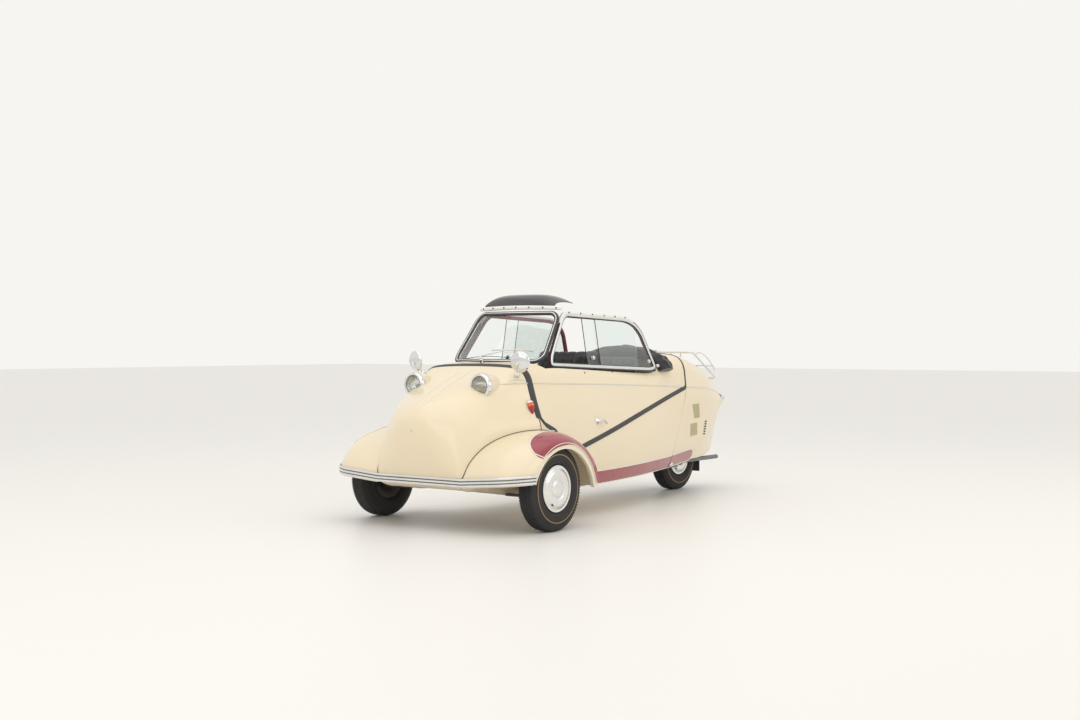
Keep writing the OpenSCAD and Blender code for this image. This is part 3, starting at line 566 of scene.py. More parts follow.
cells = range(2 * SIDE_N + TOP_N + 1)
Shape().sheet([[canopy_cell(i, j, 0) for j in cells] for i in range(len(side_ys))],
              [[canopy_cell(i, j, skin) for j in cells] for i in range(len(side_ys))],
              lambda i, j: i < FIRST_OPEN * STEP or i >= DECK * STEP or j < SIDE_N or j >= SIDE_N + TOP_N
              ).make("canopy_skin", "canopy", "ivory_paint", [ivory], hides=["canopy_shell"], sharp=60)

# ---- Tail cover ----
# The tail cover is one tapering pressing that lifts at its front edge. It is open below,
# round the rear wheel, and closed at its end.
def tail_start(k):
    return tail_y(section(680, max(k, 0))[1]) + 4


tail_rows = steps([0, 0.1, 0.2, 0.3, 0.4, 0.5, 0.6, 0.7, 0.78, 0.86, 0.925, 0.96, 0.98, 1], 4)
columns = [(1, k) for k in [-1] + steps(range(18), 3)]
columns += [(-1, k) for _, k in columns[-2::-1]]


def tail_grid(t):
    grid = [[body_point(s, tail_start(k) + (1400 - tail_start(k)) * u, k, t) for s, k in columns]
            for u in tail_rows]
    end = np.array((0, grid[-1][0][1], 536.0))
    return grid + [[end + (p - end) * f for p in grid[-1]] for f in (0.5, 0.02)]


n_low = sum(k < 2 for s, k in columns if s > 0)
first_kept = sum(u < 0.92 for u in tail_rows)
Shape().sheet(tail_grid(0), tail_grid(skin),
              lambda i, j: i >= first_kept or n_low <= j < len(columns) - 1 - n_low
              ).make("tail_skin", "tail_cover", "ivory_paint", [ivory], hides=["tail_shell"], sharp=60)

# ---- Front fenders ----
# Each fender is a separate pressing bolted to the nose along a dark piping. It rounds down
# over the wheel, and its lip is rolled in round the arch.
FENDER_Y, FENDER_Z = -953, 215
FENDER_FRONT, FENDER_BACK, FENDER_TOP = 404, 262, 258
FENDER_W, FENDER_ROUND = 604, 148
ARCH_Y, ARCH_Z, ARCH_R = -995, 145, 250


def fender_lift(w, x):
    """The front edge climbs outward from the nose."""
    return 26 * max(0.0, min(1.0, (x - 267) / 337)) * max(0.0, (w - 120) / 60)


def fender_point(w, x, t=0.0):
    u = max(0.0, min(1.0, (x - (FENDER_W - FENDER_ROUND)) / FENDER_ROUND))
    d = 1 - math.sqrt(1 - u * u)
    reach = FENDER_FRONT - FENDER_ROUND * d if w > 90 else FENDER_BACK - 20 * d
    a = math.radians(w)
    return np.array((x - t * u, FENDER_Y + (reach - t) * math.cos(a),
                     FENDER_Z + (FENDER_TOP - 79 * d - t) * math.sin(a) + fender_lift(w, x)))


def fender_root(w):
    y, z = fender_point(w, 400)[1:]
    return max(section(y, place_of(y, z))[0] - 3, 262)


def fender_lip(w, t=0.0, grow=0.0):
    q = fender_point(w, FENDER_W - 1)
    v = math.atan2(q[2] - ARCH_Z, q[1] - ARCH_Y)
    r = ARCH_R + grow
    return np.array((FENDER_W - 1 - t, ARCH_Y + r * math.cos(v), ARCH_Z + r * math.sin(v)))


fender_ws = [180 - 185 * i / 72 for i in range(73)]
across = [0, 0.2, 0.4, 0.6, 0.8, 1.0]
rounding = [0.12, 0.25, 0.38, 0.5, 0.6, 0.7, 0.78, 0.85, 0.9, 0.945, 0.975]


def fender_row(w, t, side):
    x0, x1 = fender_root(w), FENDER_W - FENDER_ROUND
    xs = [x0 + (x1 - x0) * u for u in across] + [x1 + FENDER_ROUND * u for u in rounding]
    row = [fender_point(w, x, t) for x in xs] + [fender_lip(w, t, 14), fender_lip(w, t, 2)]
    row += [fender_lip(w, t + 4), fender_lip(w, t + 14, 1)]
    return [p * (side, 1, 1) for p in row]


fenders = Shape()
for side in (1, -1):
    fenders.sheet([fender_row(w, 0, side) for w in fender_ws],
                  [fender_row(w, 2.5, side) for w in fender_ws])
fenders.make("fender_skins", "body", "ivory_paint", [ivory], hides=["front_fenders"], sharp=50)

piping = look("seam_piping", (0.09, 0.09, 0.085), (0.14, 0.135, 0.125), rough=(0.4, 0.55),
              bump=0.00005, scales=(12, 400))
seams = Shape()
for side in (1, -1):
    line = []
    for w in fender_ws:
        if w < 6:
            continue
        p = fender_point(w, fender_root(w) + 3.6, -0.8)
        line.append(p * (side, 1, 1))
    seams.tube(line, 2.6, 8)
seams.make("fender_piping", "body", "black_rubber", [piping])

# ---- Cowl strips ----
# The seam rubber carries on outward over the top of each fender to the coloured panel.
strip_w = next(w / 10 for w in range(1000, 400, -1) if fender_point(w / 10, 400)[1] > -916)
edge = ((-2.0, -0.3), (-1.3, -3.4), (0, -4.2), (1.3, -3.4), (2.0, -0.3))
cowl_strips = Shape()
for side in (1, -1):
    xs = np.linspace(fender_root(strip_w) + 1, 500, 18)
    cowl_strips.sheet([[fender_point(strip_w + d, x, t) * (side, 1, 1) for d, t in edge] for x in xs],
                      [[fender_point(strip_w + d, x, 1.5) * (side, 1, 1) for d, t in edge] for x in xs])
cowl_strips.make("cowl_strips", "body", "black_rubber", [rubber])

# ---- Fender panels ----
# The outer corner of each fender is sprayed crimson up to a white bead, which runs in one
# line over the wheel and down behind it.
crimson = look("crimson_lacquer", (0.32, 0.012, 0.030), (0.27, 0.009, 0.024), rough=(0.20, 0.27),
               coat=0.8, coat_rough=0.06, bump=0.00003, scales=(3, 420), extra=settle_dust)
panel_ws = [137 - 137.5 * i / 60 for i in range(61)]


def panel_inner(w):
    """How far over the corner the colour reaches at angle w."""
    if w > 90:
        f = (w - 90) / 47
        return 0.20 + 0.70 * f ** 2.8
    return 0.20 + 0.16 * ((90 - w) / 90)


panels, beads = Shape(), Shape()
for side in (1, -1):
    def panel_row(w, t):
        u0 = panel_inner(w)
        x1 = FENDER_W - FENDER_ROUND
        row = [fender_point(w, x1 + FENDER_ROUND * (u0 + (0.975 - u0) * i / 12), t) for i in range(13)]
        return [p * (side, 1, 1) for p in row + [fender_lip(w, t, 30 - 6 * abs(w - 60) / 77)]]
    panels.sheet([panel_row(w, -1.1) for w in panel_ws], [panel_row(w, 0.4) for w in panel_ws])
    top_line = [panel_row(w, -1.6)[0] for w in panel_ws]
    lip_line = [panel_row(w, -1.6)[-1] for w in panel_ws]
    beads.tube([lip_line[0]] + top_line[1:], 2.8, 8)
    arch = [fender_lip(w, -1.0, 2) * (side, 1, 1) for w in fender_ws]
    beads.tube(arch, 3.2, 8)
    beads.tube(lip_line, 1.6, 8)
panels.make("fender_panels", "body", "crimson_paint", [crimson], sharp=50)
beads.make("fender_beads", "body", "bright_trim", [white_trim_and_highlight])

# ---- Bumper trim ----
# A three-ribbed alloy strip with dark grooves wraps the front edge from fender to fender.
trim = Shape()
line = []
for side in (-1, 1):
    half = [(0.0, -1357.0), (90, -1357.0), (180, -1357.0), (262, -1357.0), (272, -1357.0), (360, -1357)]
    half += [(FENDER_W - FENDER_ROUND + FENDER_ROUND * math.sin(math.radians(a)),
              -1209 - FENDER_ROUND * math.cos(math.radians(a))) for a in range(0, 85, 6)]
    pts = [np.array((side * x, y, 239.0 + fender_lift(180, x))) for x, y in half]
    line = pts[::-1] if side < 0 else line + pts[1:]
ribs = [(0, -21), (3.5, -21), (6, -18), (6, -12), (3.5, -9), (2, -7.5), (3.5, -6), (6.5, -4), (6.5, 4),
        (3.5, 6), (2, 7.5), (3.5, 9), (6, 12), (6, 18), (3.5, 21), (0, 21)]
trim.tube(line, 0, profile=[(s, v) for s, v in ribs])
groove = Shape()
for dz in (-7.5, 7.5):
    groove.tube([p + np.array((0, 0, dz)) for p in line], 0,
                profile=[(1.2, -2.6), (4.4, -2.6), (4.4, 2.6), (1.2, 2.6)])
trim.make("bumper_strip", "body", "bright_trim", [alloy], hides=["bumper_trim"], sharp=30)
groove.make("bumper_grooves", "body", "black_rubber", [piping])

# ---- Sill bands ----
# A crimson band edged with white beads runs low along both sides and ends round on the
# tail cover.
SILL = ((-680, -300, 80, 460, 520, 850), (168, 171, 176, 184, 187, 206))


def sill_z(y, u):
    low = float(np.interp(y, *SILL))
    return low + 64 * u


def band_pieces(y0, y1, name, body, hides, end_round):
    band, edge = Shape(), Shape()
    for side in (1, -1):
        tops, bottoms, rows, rows_in = [], [], [], []
        for y in np.linspace(0, 1, 40):
            def reach(u):
                end = y1 if end_round else tail_y(sill_z(y1, u)) - 6
                start = tail_y(sill_z(y0, u)) + 8 if end_round else y0
                if end_round:
                    end -= 34 * abs(2 * u - 1) ** 2.5
                return start + (end - start) * y
            us = [i / 6 for i in range(7)]
            rows.append([on_side(side, reach(u), sill_z(reach(u), u), -2.2) for u in us])
            rows_in.append([on_side(side, reach(u), sill_z(reach(u), u), 0.8) for u in us])
            tops.append(on_side(side, reach(1), sill_z(reach(1), 1.03), -1.8))
            bottoms.append(on_side(side, reach(0), sill_z(reach(0), -0.03), -1.8))
        band.sheet(rows, rows_in)
        edge.tube(tops, 2.6, 8)
        edge.tube(bottoms, 2.6, 8)
        if end_round:
            edge.tube([tops[-1]] + rows[-1][::-1] + [bottoms[-1]], 2.4, 8)
    band.make(name, body, "crimson_paint", [crimson], hides=hides)
    edge.make(name + "_beads", body, "bright_trim", [white_trim_and_highlight])


band_pieces(-690, 470, "sill_band", "body", ["sill_bands"], False)
band_pieces(500, 850, "tail_band", "tail_cover", [], True)

# ---- Waist mouldings ----
# A thin bright bead marks the waist from behind the lamps to the tail, in one piece on
# each panel, with a short blade over its front end.
WAIST = ((-1060, -939, -680, -318, 73, 567, 700, 1000, 1290, 1385),
         (697, 700, 692, 681, 667, 646, 640, 625, 590, 566))


def waist(y0, y1, name, body, both=(1, -1), blade=False):
    bead = Shape()
    for side in both:
        bead.tube([on_side(side, y, float(np.interp(y, *WAIST)), -1.2) for y in np.linspace(y0, y1, 44)],
                  2.6, 8)
        if blade:
            bead.tube([on_side(side, y, 712 + 4 * math.sin((y + 1010) / 30), -1.0)
                       for y in np.linspace(-1015, -945, 12)], 2.0, 8)
    bead.make(name, body, "bright_trim", [chrome])


waist(-1085, -932, "nose_waist_bead", "body", blade=True)
waist(-900, 656, "door_waist_bead", "canopy")
waist(690, 1384, "tail_waist_bead", "tail_cover")

# ---- Headlights ----
# Each lamp stands in a spun pod on the nose. A chromed rim holds a fluted lens over a
# silvered bowl and its bulb.
glass = bpy.data.materials.new("clear_safety_glass")
glass.use_nodes = True
g = glass.node_tree.nodes["Principled BSDF"]
g.inputs["Transmission Weight"].default_value = 1.0
g.inputs["Roughness"].default_value = 0.01
g.inputs["IOR"].default_value = 1.45
g.inputs["Base Color"].default_value = (0.93, 0.965, 0.955, 1)


def fluting(tree, coords, p, tint):
    n, link = tree.nodes, tree.links.new
    wave = n.new("ShaderNodeTexWave")
    wave.bands_direction = "X"
    wave.inputs["Scale"].default_value = 42
    bump = n.new("ShaderNodeBump")
    bump.inputs["Distance"].default_value = 0.0007
    bump.inputs["Strength"].default_value = 0.6
    link(coords.outputs["Object"], wave.inputs["Vector"])
    link(wave.outputs["Fac"], bump.inputs["Height"])
    link(bump.outputs["Normal"], p.inputs["Normal"])


lens_look = look("fluted_lens", (0.95, 0.96, 0.95), (0.90, 0.92, 0.91), rough=(0.03, 0.07), extra=fluting)
lens_look.node_tree.nodes["Principled BSDF"].inputs["Transmission Weight"].default_value = 1.0
lamps = ((212, 1), (-212, -1))
pods, rims, bowls, lenses, bulbs = Shape(), Shape(), Shape(), Shape(), Shape()
for x, _ in lamps:
    c, a = (x, -1151, 688), (0, 1, 0)
    pods.lathe([(50, 12), (60, 10), (62, 18), (62, 34), (60, 52), (56, 72), (50, 94), (42, 116),
                (30, 138), (16, 152), (0, 158), (0, 150), (28, 130), (46, 90), (55, 50), (57, 22)], c, a, 64)
    rims.lathe([(47, 6), (47, -1), (50, -5), (54, -6), (58.5, -4), (61.5, 0), (63, 6), (63, 20), (60, 22),
                (56, 12), (51, 10)], c, a, 64)
    bowls.lathe([(48, 6), (46, 14), (40, 26), (30, 36), (16, 42), (0, 44), (0, 46), (32, 39), (43, 26),
                 (49.5, 12)], c, a, 64)
    lenses.lathe([(0, -15), (16, -13.5), (30, -9.5), (40, -4.5), (47.5, 1), (47.5, 4), (40, -1.5),
                  (30, -6.5), (16, -10.5), (0, -12)], c, a, 64)
    bulbs.lathe([(0, 12), (4, 13), (6, 18), (5, 26), (7, 34), (7, 43), (0, 43)], c, a, 24)
pods.make("lamp_pods", "body", "ivory_paint", [ivory], hides=["headlight_pods"])
rims.make("lamp_rims", "body", "bright_trim", [chrome])
bowls.make("lamp_bowls", "body", "bright_trim", [chrome])
lenses.make("lamp_lenses", "body", "lamp_glass", [lens_look], hides=["headlight_lenses"])
bulbs.make("lamp_bulbs", "body", "lamp_glass", [alloy])

# ---- Mirrors and indicators ----
# Round mirrors in chromed shells stand on cranked stalks with ball feet. The indicators
# are teardrops with an amber and a red lens under a bright cap.
silver = look("mirror_silver", (0.88, 0.89, 0.90), (0.80, 0.82, 0.83), rough=(0.02, 0.05), metallic=1.0)
heads, glasses, stalks = Shape(), Shape(), Shape()
for s in (1, -1):
    c, a = np.array((s * 337, -997, 803.0)), np.array((-s * 0.20, 0.97, 0.13))
    heads.lathe([(0, -12), (18, -11), (34, -8), (46, -3), (51, 2), (52.5, 5), (50.5, 6.5), (49, 5),
                 (44, 0), (0, -4)], c, a, 56)
    glasses.lathe([(0, 1), (49, 1), (50.5, 3), (49, 4.5), (0, 4.8)], c, a, 56)
    stalks.tube(curve_through([(s * 337, -1006, 800), (s * 335, -1016, 792), (s * 326, -1008, 776),
                               (s * 311, -986, 764), (s * 304, -976, 752)], 6), 4.6, 12)
    stalks.lathe([(0, -12), (10, -11), (14, -6), (15, 0), (13, 7), (7, 12), (0, 13)],
                 (s * 303, -975, 744), (0, 0, 1), 28)
heads.make("mirror_shells", "body", "bright_trim", [chrome], hides=["mirrors"])
glasses.make("mirror_glasses", "body", "bright_trim", [silver])
stalks.make("mirror_stalks", "body", "bright_trim", [chrome])

amber = look("amber_lens", (0.80, 0.16, 0.010), (0.70, 0.12, 0.008), rough=(0.08, 0.14), coat=0.6, scales=(30, 260))
ruby = look("ruby_lens", (0.42, 0.012, 0.012), (0.34, 0.008, 0.01), rough=(0.08, 0.14), coat=0.6, scales=(30, 260))
drops = Shape()
for s in (1, -1):
    base = on_side(1, -950, 586)
    out_dir = on_side(1, -950, 586, -1) - base
    tilt = on_side(1, -950, 620) - on_side(1, -950, 552)
    up = tilt / np.linalg.norm(tilt)
    out_dir = np.array((1, 0, 0)) - up * up[0]
    out_dir /= np.linalg.norm(out_dir)
    side_dir = np.array((0, 1.0, 0))
    heights = [-38, -36, -30, -22, -12, -2, 0, 4, 12, 17, 18, 24, 30, 34, 36]
    widths = [1, 4.5, 8.5, 12, 15, 17, 17.3, 17.6, 17.4, 17, 18.2, 16.5, 12.5, 7, 1]
    depth = [1, 5, 10, 14, 18, 21, 21.5, 22, 21.5, 21, 22.5, 20, 14, 8, 1]
    n = 20
    for lo, hi, lk in ((0, 6, 1), (6, 9, 0), (9, 14, 2)):
        verts, faces = [], []
        for h, w, d in list(zip(heights, widths, depth))[lo:hi + 1]:
            for k in range(n):
                ang = math.pi * 2 * k / n
                out_x = d * max(math.cos(ang), 0) ** 0.8 if math.cos(ang) > 0 else -2
                p = base + up * h + side_dir * w * math.sin(ang) + out_dir * (out_x + 0.5)
                verts.append(p * (s, 1, 1))
        m = hi - lo + 1
        faces = [(i * n + k, i * n + (k + 1) % n, (i + 1) * n + (k + 1) % n, (i + 1) * n + k)
                 for i in range(m - 1) for k in range(n)]
        faces += [tuple(range(n)), tuple((m - 1) * n + k for k in range(n))]
        drops.add(verts, faces, lk)
drops.make("indicator_lenses", "body", "amber_plastic", [amber, ruby, chrome], hides=["indicators"])

# ---- Windscreen ----
# Laminated glass curved in plan sits in a thick rubber with a bright filler strip, under
# a white header rail.
def screen(a, b):
    w = 288 - 32 * b
    return np.array((a * w, (-815 + 222 * b) + (67 - 30 * b) * a * a,
                     (826 + 229 * b) - (38 - 31 * b) * a * a))


OUT_OF_SCREEN = np.array((0, -0.75, 0.66))


def screen_edge(inset, n=16):
    """Outline of the glass with round corners, moved in by inset millimetres."""
    a1, b0, b1 = 1 - inset / 288, inset / 300, 1 - inset / 300
    ra, rb, low = 0.17, 0.16, 0.24
    pts = []
    for (ca, cb, qa, qb, start) in ((a1 - ra, b1 - rb, ra, rb, 0), (-a1 + ra, b1 - rb, ra, rb, 90),
                                    (-a1 + low, b0 + low, low, low, 180), (a1 - low, b0 + low, low, low, 270)):
        for i in range(n):
            v = math.radians(start + 90 * i / (n - 1))
            pts.append(screen(ca + qa * math.cos(v), cb + qb * math.sin(v)))
    dense = []
    for p, q in zip(pts, pts[1:] + pts[:1]):
        gap = np.linalg.norm(q - p)
        m = max(1, int(gap / 30))
        dense += [p + (q - p) * i / m for i in range(m)]
    # straight runs follow the glass's bow
    return dense


def bowed(p):
    """The point pushed onto the glass's curved surface, by its height and width."""
    x, z = p[0], p[2]
    b = 0.5
    for _ in range(20):
        a = x / (288 - 32 * b)
        b = (z - 826 + 38 * a * a) / (229 + 31 * a * a)
    return screen(x / (288 - 32 * b), b)


edge_line = [bowed(p) for p in screen_edge(0)]
rim_seal = Shape()
rim_seal.tube([p + OUT_OF_SCREEN * 1.5 for p in edge_line], 0, closed=True, up=tuple(OUT_OF_SCREEN),
              profile=[(-12, -6), (12, -6), (13, -2), (12, 3), (7, 6), (-7, 6), (-12, 3), (-13, -2)])
rim_seal.make("windscreen_rubber", "canopy", "black_rubber", [rubber], hides=["windscreen_seal"], sharp=40)
filler = Shape()
filler.tube([p + OUT_OF_SCREEN * 7.6 for p in edge_line], 0, closed=True, up=tuple(OUT_OF_SCREEN),
            profile=[(-3.2, -1.2), (3.2, -1.2), (2.2, 1.2), (-2.2, 1.2)])
filler.make("windscreen_filler", "canopy", "bright_trim", [alloy])
pane = Shape()
rows, rows_in = [], []
for i in range(33):
    a = -0.985 + 1.97 * i / 32
    lo = 0.015 + 0.16 * max(0, (abs(a) - 0.78) / 0.205) ** 2.2
    hi = 0.985 - 0.10 * max(0, (abs(a) - 0.84) / 0.145) ** 2.2
    rows.append([screen(a, lo + (hi - lo) * j / 14) for j in range(15)])
    rows_in.append([screen(a, lo + (hi - lo) * j / 14) - OUT_OF_SCREEN * 4 for j in range(15)])
pane.sheet(rows, rows_in)
pane.make("windscreen_glass", "canopy", "clear_glass", [glass], hides=["windscreen"])

# ---- Header, side windows and studs ----
# A white rail runs over the screen and both windows. Each window has a bright frame in a
# black rubber, a crimson lining, and snap studs for the roof cloth along its top.
LEAN = math.radians(9.2)


def corner(a, b, c, share, n):
    p = np.array(b, float) + (np.array(a, float) - b) * share
    q = np.array(b, float) + (np.array(c, float) - b) * share
    return [p * (1 - u) ** 2 + np.array(b, float) * 2 * u * (1 - u) + q * u * u
            for u in np.linspace(0, 1, n)]


outline = (corner((-614, 0), (-700, 4), (-640, 128), 0.5, 12)
           + corner((-700, 4), (-520, 282), (-300, 274), 0.22, 10)
           + corner((-300, 274), (170, 258), (345, -35), 0.32, 16)
           + corner((170, 258), (328, -36), (-614, 0), 0.12, 10))


def inset(points, d):
    p = np.array(points)
    t = np.roll(p, -1, 0) - np.roll(p, 1, 0)
    t /= np.linalg.norm(t, axis=1)[:, None]
    return p + np.stack((t[:, 1], -t[:, 0]), 1) * d


def on_window(side, q, depth):
    y, h = q
    return np.array((side * (300 + depth * math.cos(LEAN) - h * math.sin(LEAN)), y,
                     776 + depth * math.sin(LEAN) + h * math.cos(LEAN)))


lining_look = look("crimson_lining", (0.20, 0.012, 0.025), (0.15, 0.009, 0.018), rough=(0.5, 0.65),
                   bump=0.0002, scales=(12, 700), sheen=0.2)
window_up = {s: (s * math.cos(LEAN), 0, math.sin(LEAN)) for s in (1, -1)}
frames, gaskets, linings, roof_rail = Shape(), Shape(), Shape(), Shape()
for s in (1, -1):
    ring = [on_window(s, q, 0) for q in inset(outline, 9)]
    frames.tube(ring, 0, closed=True, up=window_up[s],
                profile=[(-8, -8), (8, -8), (8, 1), (6, 3), (2, 4), (-2, 4), (-6, 3), (-8, 1)])
    gaskets.tube([on_window(s, q, -2) for q in inset(outline, -1.5)], 4.2, 10, closed=True)
    gaskets.tube([on_window(s, q, -2) for q in inset(outline, 18.5)], 2.6, 8, closed=True)
    linings.tube([on_window(s, q, -13) for q in inset(outline, 12)], 0, closed=True, up=window_up[s],
                 profile=[(-9, -6), (9, -6), (10, 0), (9, 4), (-9, 4), (-10, 0)])
    top = [q for q in inset(outline, -3) if q[1] > 150 and q[0] < 150]
    top = [(-560.0, 226)] + [tuple(q) for q in top if q[0] > -545]
    roof_rail.tube([on_window(s, q, -3) for q in top], 0, up=window_up[s],
                   profile=[(-8, -9), (6, -9), (8, -6), (8, 3), (5, 6), (-5, 6), (-8, 3)])
header = [screen(a, 1.05) + np.array((0, 3, 14)) for a in np.linspace(-1.03, 1.03, 40)]
roof_rail.tube(header, 0, profile=[(-15, -9), (10, -9), (14, -4), (14, 4), (9, 9), (-9, 9),
                                   (-14, 5), (-16, 0)])
frames.make("window_frames", "canopy", "bright_trim", [alloy], hides=["side_window_frames"], sharp=30)
gaskets.make("window_rubbers", "canopy", "black_rubber", [rubber])
linings.make("window_linings", "canopy", "crimson_paint", [lining_look])
roof_rail.make("roof_rail", "canopy", "ivory_paint", [white_trim_and_highlight], hides=["header_rail"])


def repeat_tree(name, primitive):
    """Puts a small dome or block, sized and aimed by the points' own directions, on each point."""
    tree = bpy.data.node_groups.new(name, "GeometryNodeTree")
    tree.interface.new_socket("Geometry", in_out="INPUT", socket_type="NodeSocketGeometry")
    size = tree.interface.new_socket("Size", in_out="INPUT", socket_type="NodeSocketVector")
    finish = tree.interface.new_socket("Finish", in_out="INPUT", socket_type="NodeSocketMaterial")
    tree.interface.new_socket("Geometry", in_out="OUTPUT", socket_type="NodeSocketGeometry")
    n, link = tree.nodes, tree.links.new
    into, outof = n.new("NodeGroupInput"), n.new("NodeGroupOutput")
    points, place = n.new("GeometryNodeMeshToPoints"), n.new("GeometryNodeInstanceOnPoints")
    if primitive == "dome":
        shape = n.new("GeometryNodeMeshUVSphere")
        shape.inputs["Segments"].default_value = 12
        shape.inputs["Rings"].default_value = 7
        shape.inputs["Radius"].default_value = 0.5
    else:
        shape = n.new("GeometryNodeMeshCube")
    turn = None
    for axis, attribute in (("Z", "aim"), ("X", "across")):
        direction = n.new("GeometryNodeInputNamedAttribute")
        direction.data_type = "FLOAT_VECTOR"
        direction.inputs["Name"].default_value = attribute
        align = n.new("FunctionNodeAlignRotationToVector")
        align.axis = axis
        align.pivot_axis = "AUTO" if axis == "Z" else "Z"
        link(direction.outputs["Attribute"], align.inputs["Vector"])
        if turn:
            link(turn, align.inputs["Rotation"])
        turn = align.outputs["Rotation"]
    real, paint = n.new("GeometryNodeRealizeInstances"), n.new("GeometryNodeSetMaterial")
    link(into.outputs["Geometry"], points.inputs["Mesh"])
    link(points.outputs["Points"], place.inputs["Points"])
    link(shape.outputs["Mesh"], place.inputs["Instance"])
    link(turn, place.inputs["Rotation"])
    link(into.outputs["Size"], place.inputs["Scale"])
    link(place.outputs["Instances"], real.inputs["Geometry"])
    link(real.outputs["Geometry"], paint.inputs["Geometry"])
    link(into.outputs["Finish"], paint.inputs["Material"])
    link(paint.outputs["Geometry"], outof.inputs["Geometry"])
    return tree, size.identifier, finish.identifier


TREES = {kind: repeat_tree("repeat_" + kind, kind) for kind in ("dome", "block")}


def repeat(name, kind, places, size, finish, body):
    """places lists (point, aim, across) in millimetres; size is in millimetres."""
    mesh = bpy.data.meshes.new(name + "_points")
    mesh.from_pydata([tuple(np.array(p) / 1000) for p, _, _ in places], [], [])
    for attribute, column in (("aim", 1), ("across", 2)):
        data = mesh.attributes.new(attribute, "FLOAT_VECTOR", "POINT")
        data.data.foreach_set("vector", np.array([q[column] for q in places], float).ravel())
    piece = bpy.data.objects.new(name, mesh)
    bpy.context.collection.objects.link(piece)
    tree, size_id, finish_id = TREES[kind]
    mod = piece.modifiers.new("repeat", "NODES")
    mod.node_group = tree
    mod[size_id] = tuple(v / 1000 for v in size)
    mod[finish_id] = finish
    bpy.context.view_layer.update()
    real = bpy.data.meshes.new_from_object(piece.evaluated_get(bpy.context.evaluated_depsgraph_get()))
    piece.modifiers.clear()
    piece.data = real
    if not real.materials:
        real.materials.append(finish)
    if kind == "dome":
        real.shade_smooth()
    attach(piece, body)
    return piece


studs = [(screen(a, 1.05) + np.array((0, -12, 16)), (0, -0.95, 0.3), (1, 0, 0))
         for a in (-0.92, -0.62, -0.3, 0.02, 0.34, 0.66, 0.95)]
for s in (1, -1):
    out_dir = window_up[s]
    for y in (-470, -365, -255, -145, -40, 60):
        h = float(np.interp(y, (-520, 170), (280, 256)))
        studs.append((on_window(s, (y, h + 4), 4), out_dir, (0, 1, 0)))
    for y in (-420, -130, 160):
        studs.append((on_side(s, y, 742, -1), (s, 0, 0.1), (0, 1, 0)))
stud_look = look("blackened_brass", (0.05, 0.045, 0.04), (0.10, 0.09, 0.07), rough=(0.25, 0.4),
                 metallic=0.8, scales=(60, 500))
repeat("roof_studs", "dome", studs, (9, 9, 6), stud_look, "canopy")

# ---- Panes ----
# Two thin sheets of glass slide in each window; the front one is pushed back. Chromed
# knobs and a latch are fixed to them.
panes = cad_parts["window_panes"].data.materials
panes.clear()
panes.append(glass)
knobs = Shape()
for s in (1, -1):
    for y, h in ((-290, 44), (256, 20)):
        c = on_window(s, (y, h), -8)
        knobs.lathe([(0, 12), (8, 11), (11, 8), (10, 5), (5, 4), (5, -2), (11, -4), (0, -5)], c,
                    window_up[s], 24)
    c = on_window(s, (322, -8), 8)
    knobs.lathe([(0, 9), (7, 8), (9, 4), (9, -4), (0, -4)], c, window_up[s], 20)
knobs.make("pane_knobs", "canopy", "bright_trim", [chrome])

# ---- Sun visor ----
# A smoked plastic visor stands over the header, pulled to a low rounded shape and open
# to the rear.
smoked = look("smoked_plastic", (0.050, 0.050, 0.052), (0.075, 0.075, 0.077), rough=(0.16, 0.24),
              coat=0.3, bump=0.00002, scales=(4, 500))
visor_line = curve_through([(-2, 26), (0, 44), (10, 64), (32, 78), (64, 85), (102, 85), (138, 79),
                            (160, 70)], 5)


def visor_at(a, q, t):
    p = screen(a, 1.05)
    k = 1 - 0.60 * abs(a / 0.9) ** 5
    back = q[0] + (t * 0.6 if q[0] < 60 else -t * 0.3)
    return p + np.array((0, back, 26 + (q[1] - 26) * k - (t if q[1] > 40 else 0)))


spread = [0.90 * math.sin(math.radians(v)) for v in np.linspace(-90, 90, 31)]
visor = Shape().sheet([[visor_at(a, q, 0) for q in visor_line] for a in spread],
                      [[visor_at(a, q, 3.5) for q in visor_line] for a in spread])
visor.make("visor_skin", "canopy", "smoked_plastic", [smoked], hides=["sun_visor"], sharp=60)

# ---- Folded roof ----
# The black roof cloth lies folded over its hoops across the rear deck, bulging between
# its straps.
cloth = look("roof_cloth_weave", (0.016, 0.016, 0.018), (0.028, 0.028, 0.030), rough=(0.75, 0.95),
             bump=0.0004, scales=(6, 900), sheen=0.35)
roof_rows = np.linspace(372, 486, 22)
roof_cols = [(1, u) for u in np.linspace(0, 1, 34)] + [(-1, u) for u in np.linspace(1, 0, 34)[1:]]


def roof_at(y, side, u, outside):
    low = place_of(y, 734)
    k = low + (CROWN - low) * u
    f = (y - 372) / 114
    if not outside:
        return body_point(side, y, k, -3.5)
    fold = 4.5 * math.sin(f * 15 + 0.8 * side + 3 * math.sin(u * 5)) + 3.0 * math.sin(u * 23 + f * 6)
    lift = 12 + 52 * math.sin(math.pi * min(1, 0.06 + 0.94 * f)) ** 0.55
    return body_point(side, y, k, -(lift + fold * math.sin(math.pi * f)) * (1 - 0.15 * (1 - u)))


roof = Shape().sheet([[roof_at(y, s, u, True) for s, u in roof_cols] for y in roof_rows],
                     [[roof_at(y, s, u, False) for s, u in roof_cols] for y in roof_rows])
roof_piece = roof.make("roof_bundle", "canopy", "roof_cloth", [cloth], hides=["folded_roof"], sharp=70)

# ---- Seats ----
# Foam cushions and backrests are covered in black vinyl with sewn channels. Each is blown
# up by a cloth simulation from a rounded block.
vinyl = look("black_vinyl", (0.012, 0.012, 0.013), (0.022, 0.022, 0.024), rough=(0.38, 0.52),
             bump=0.0003, scales=(5, 420), sheen=0.1)
CAP = 0.024


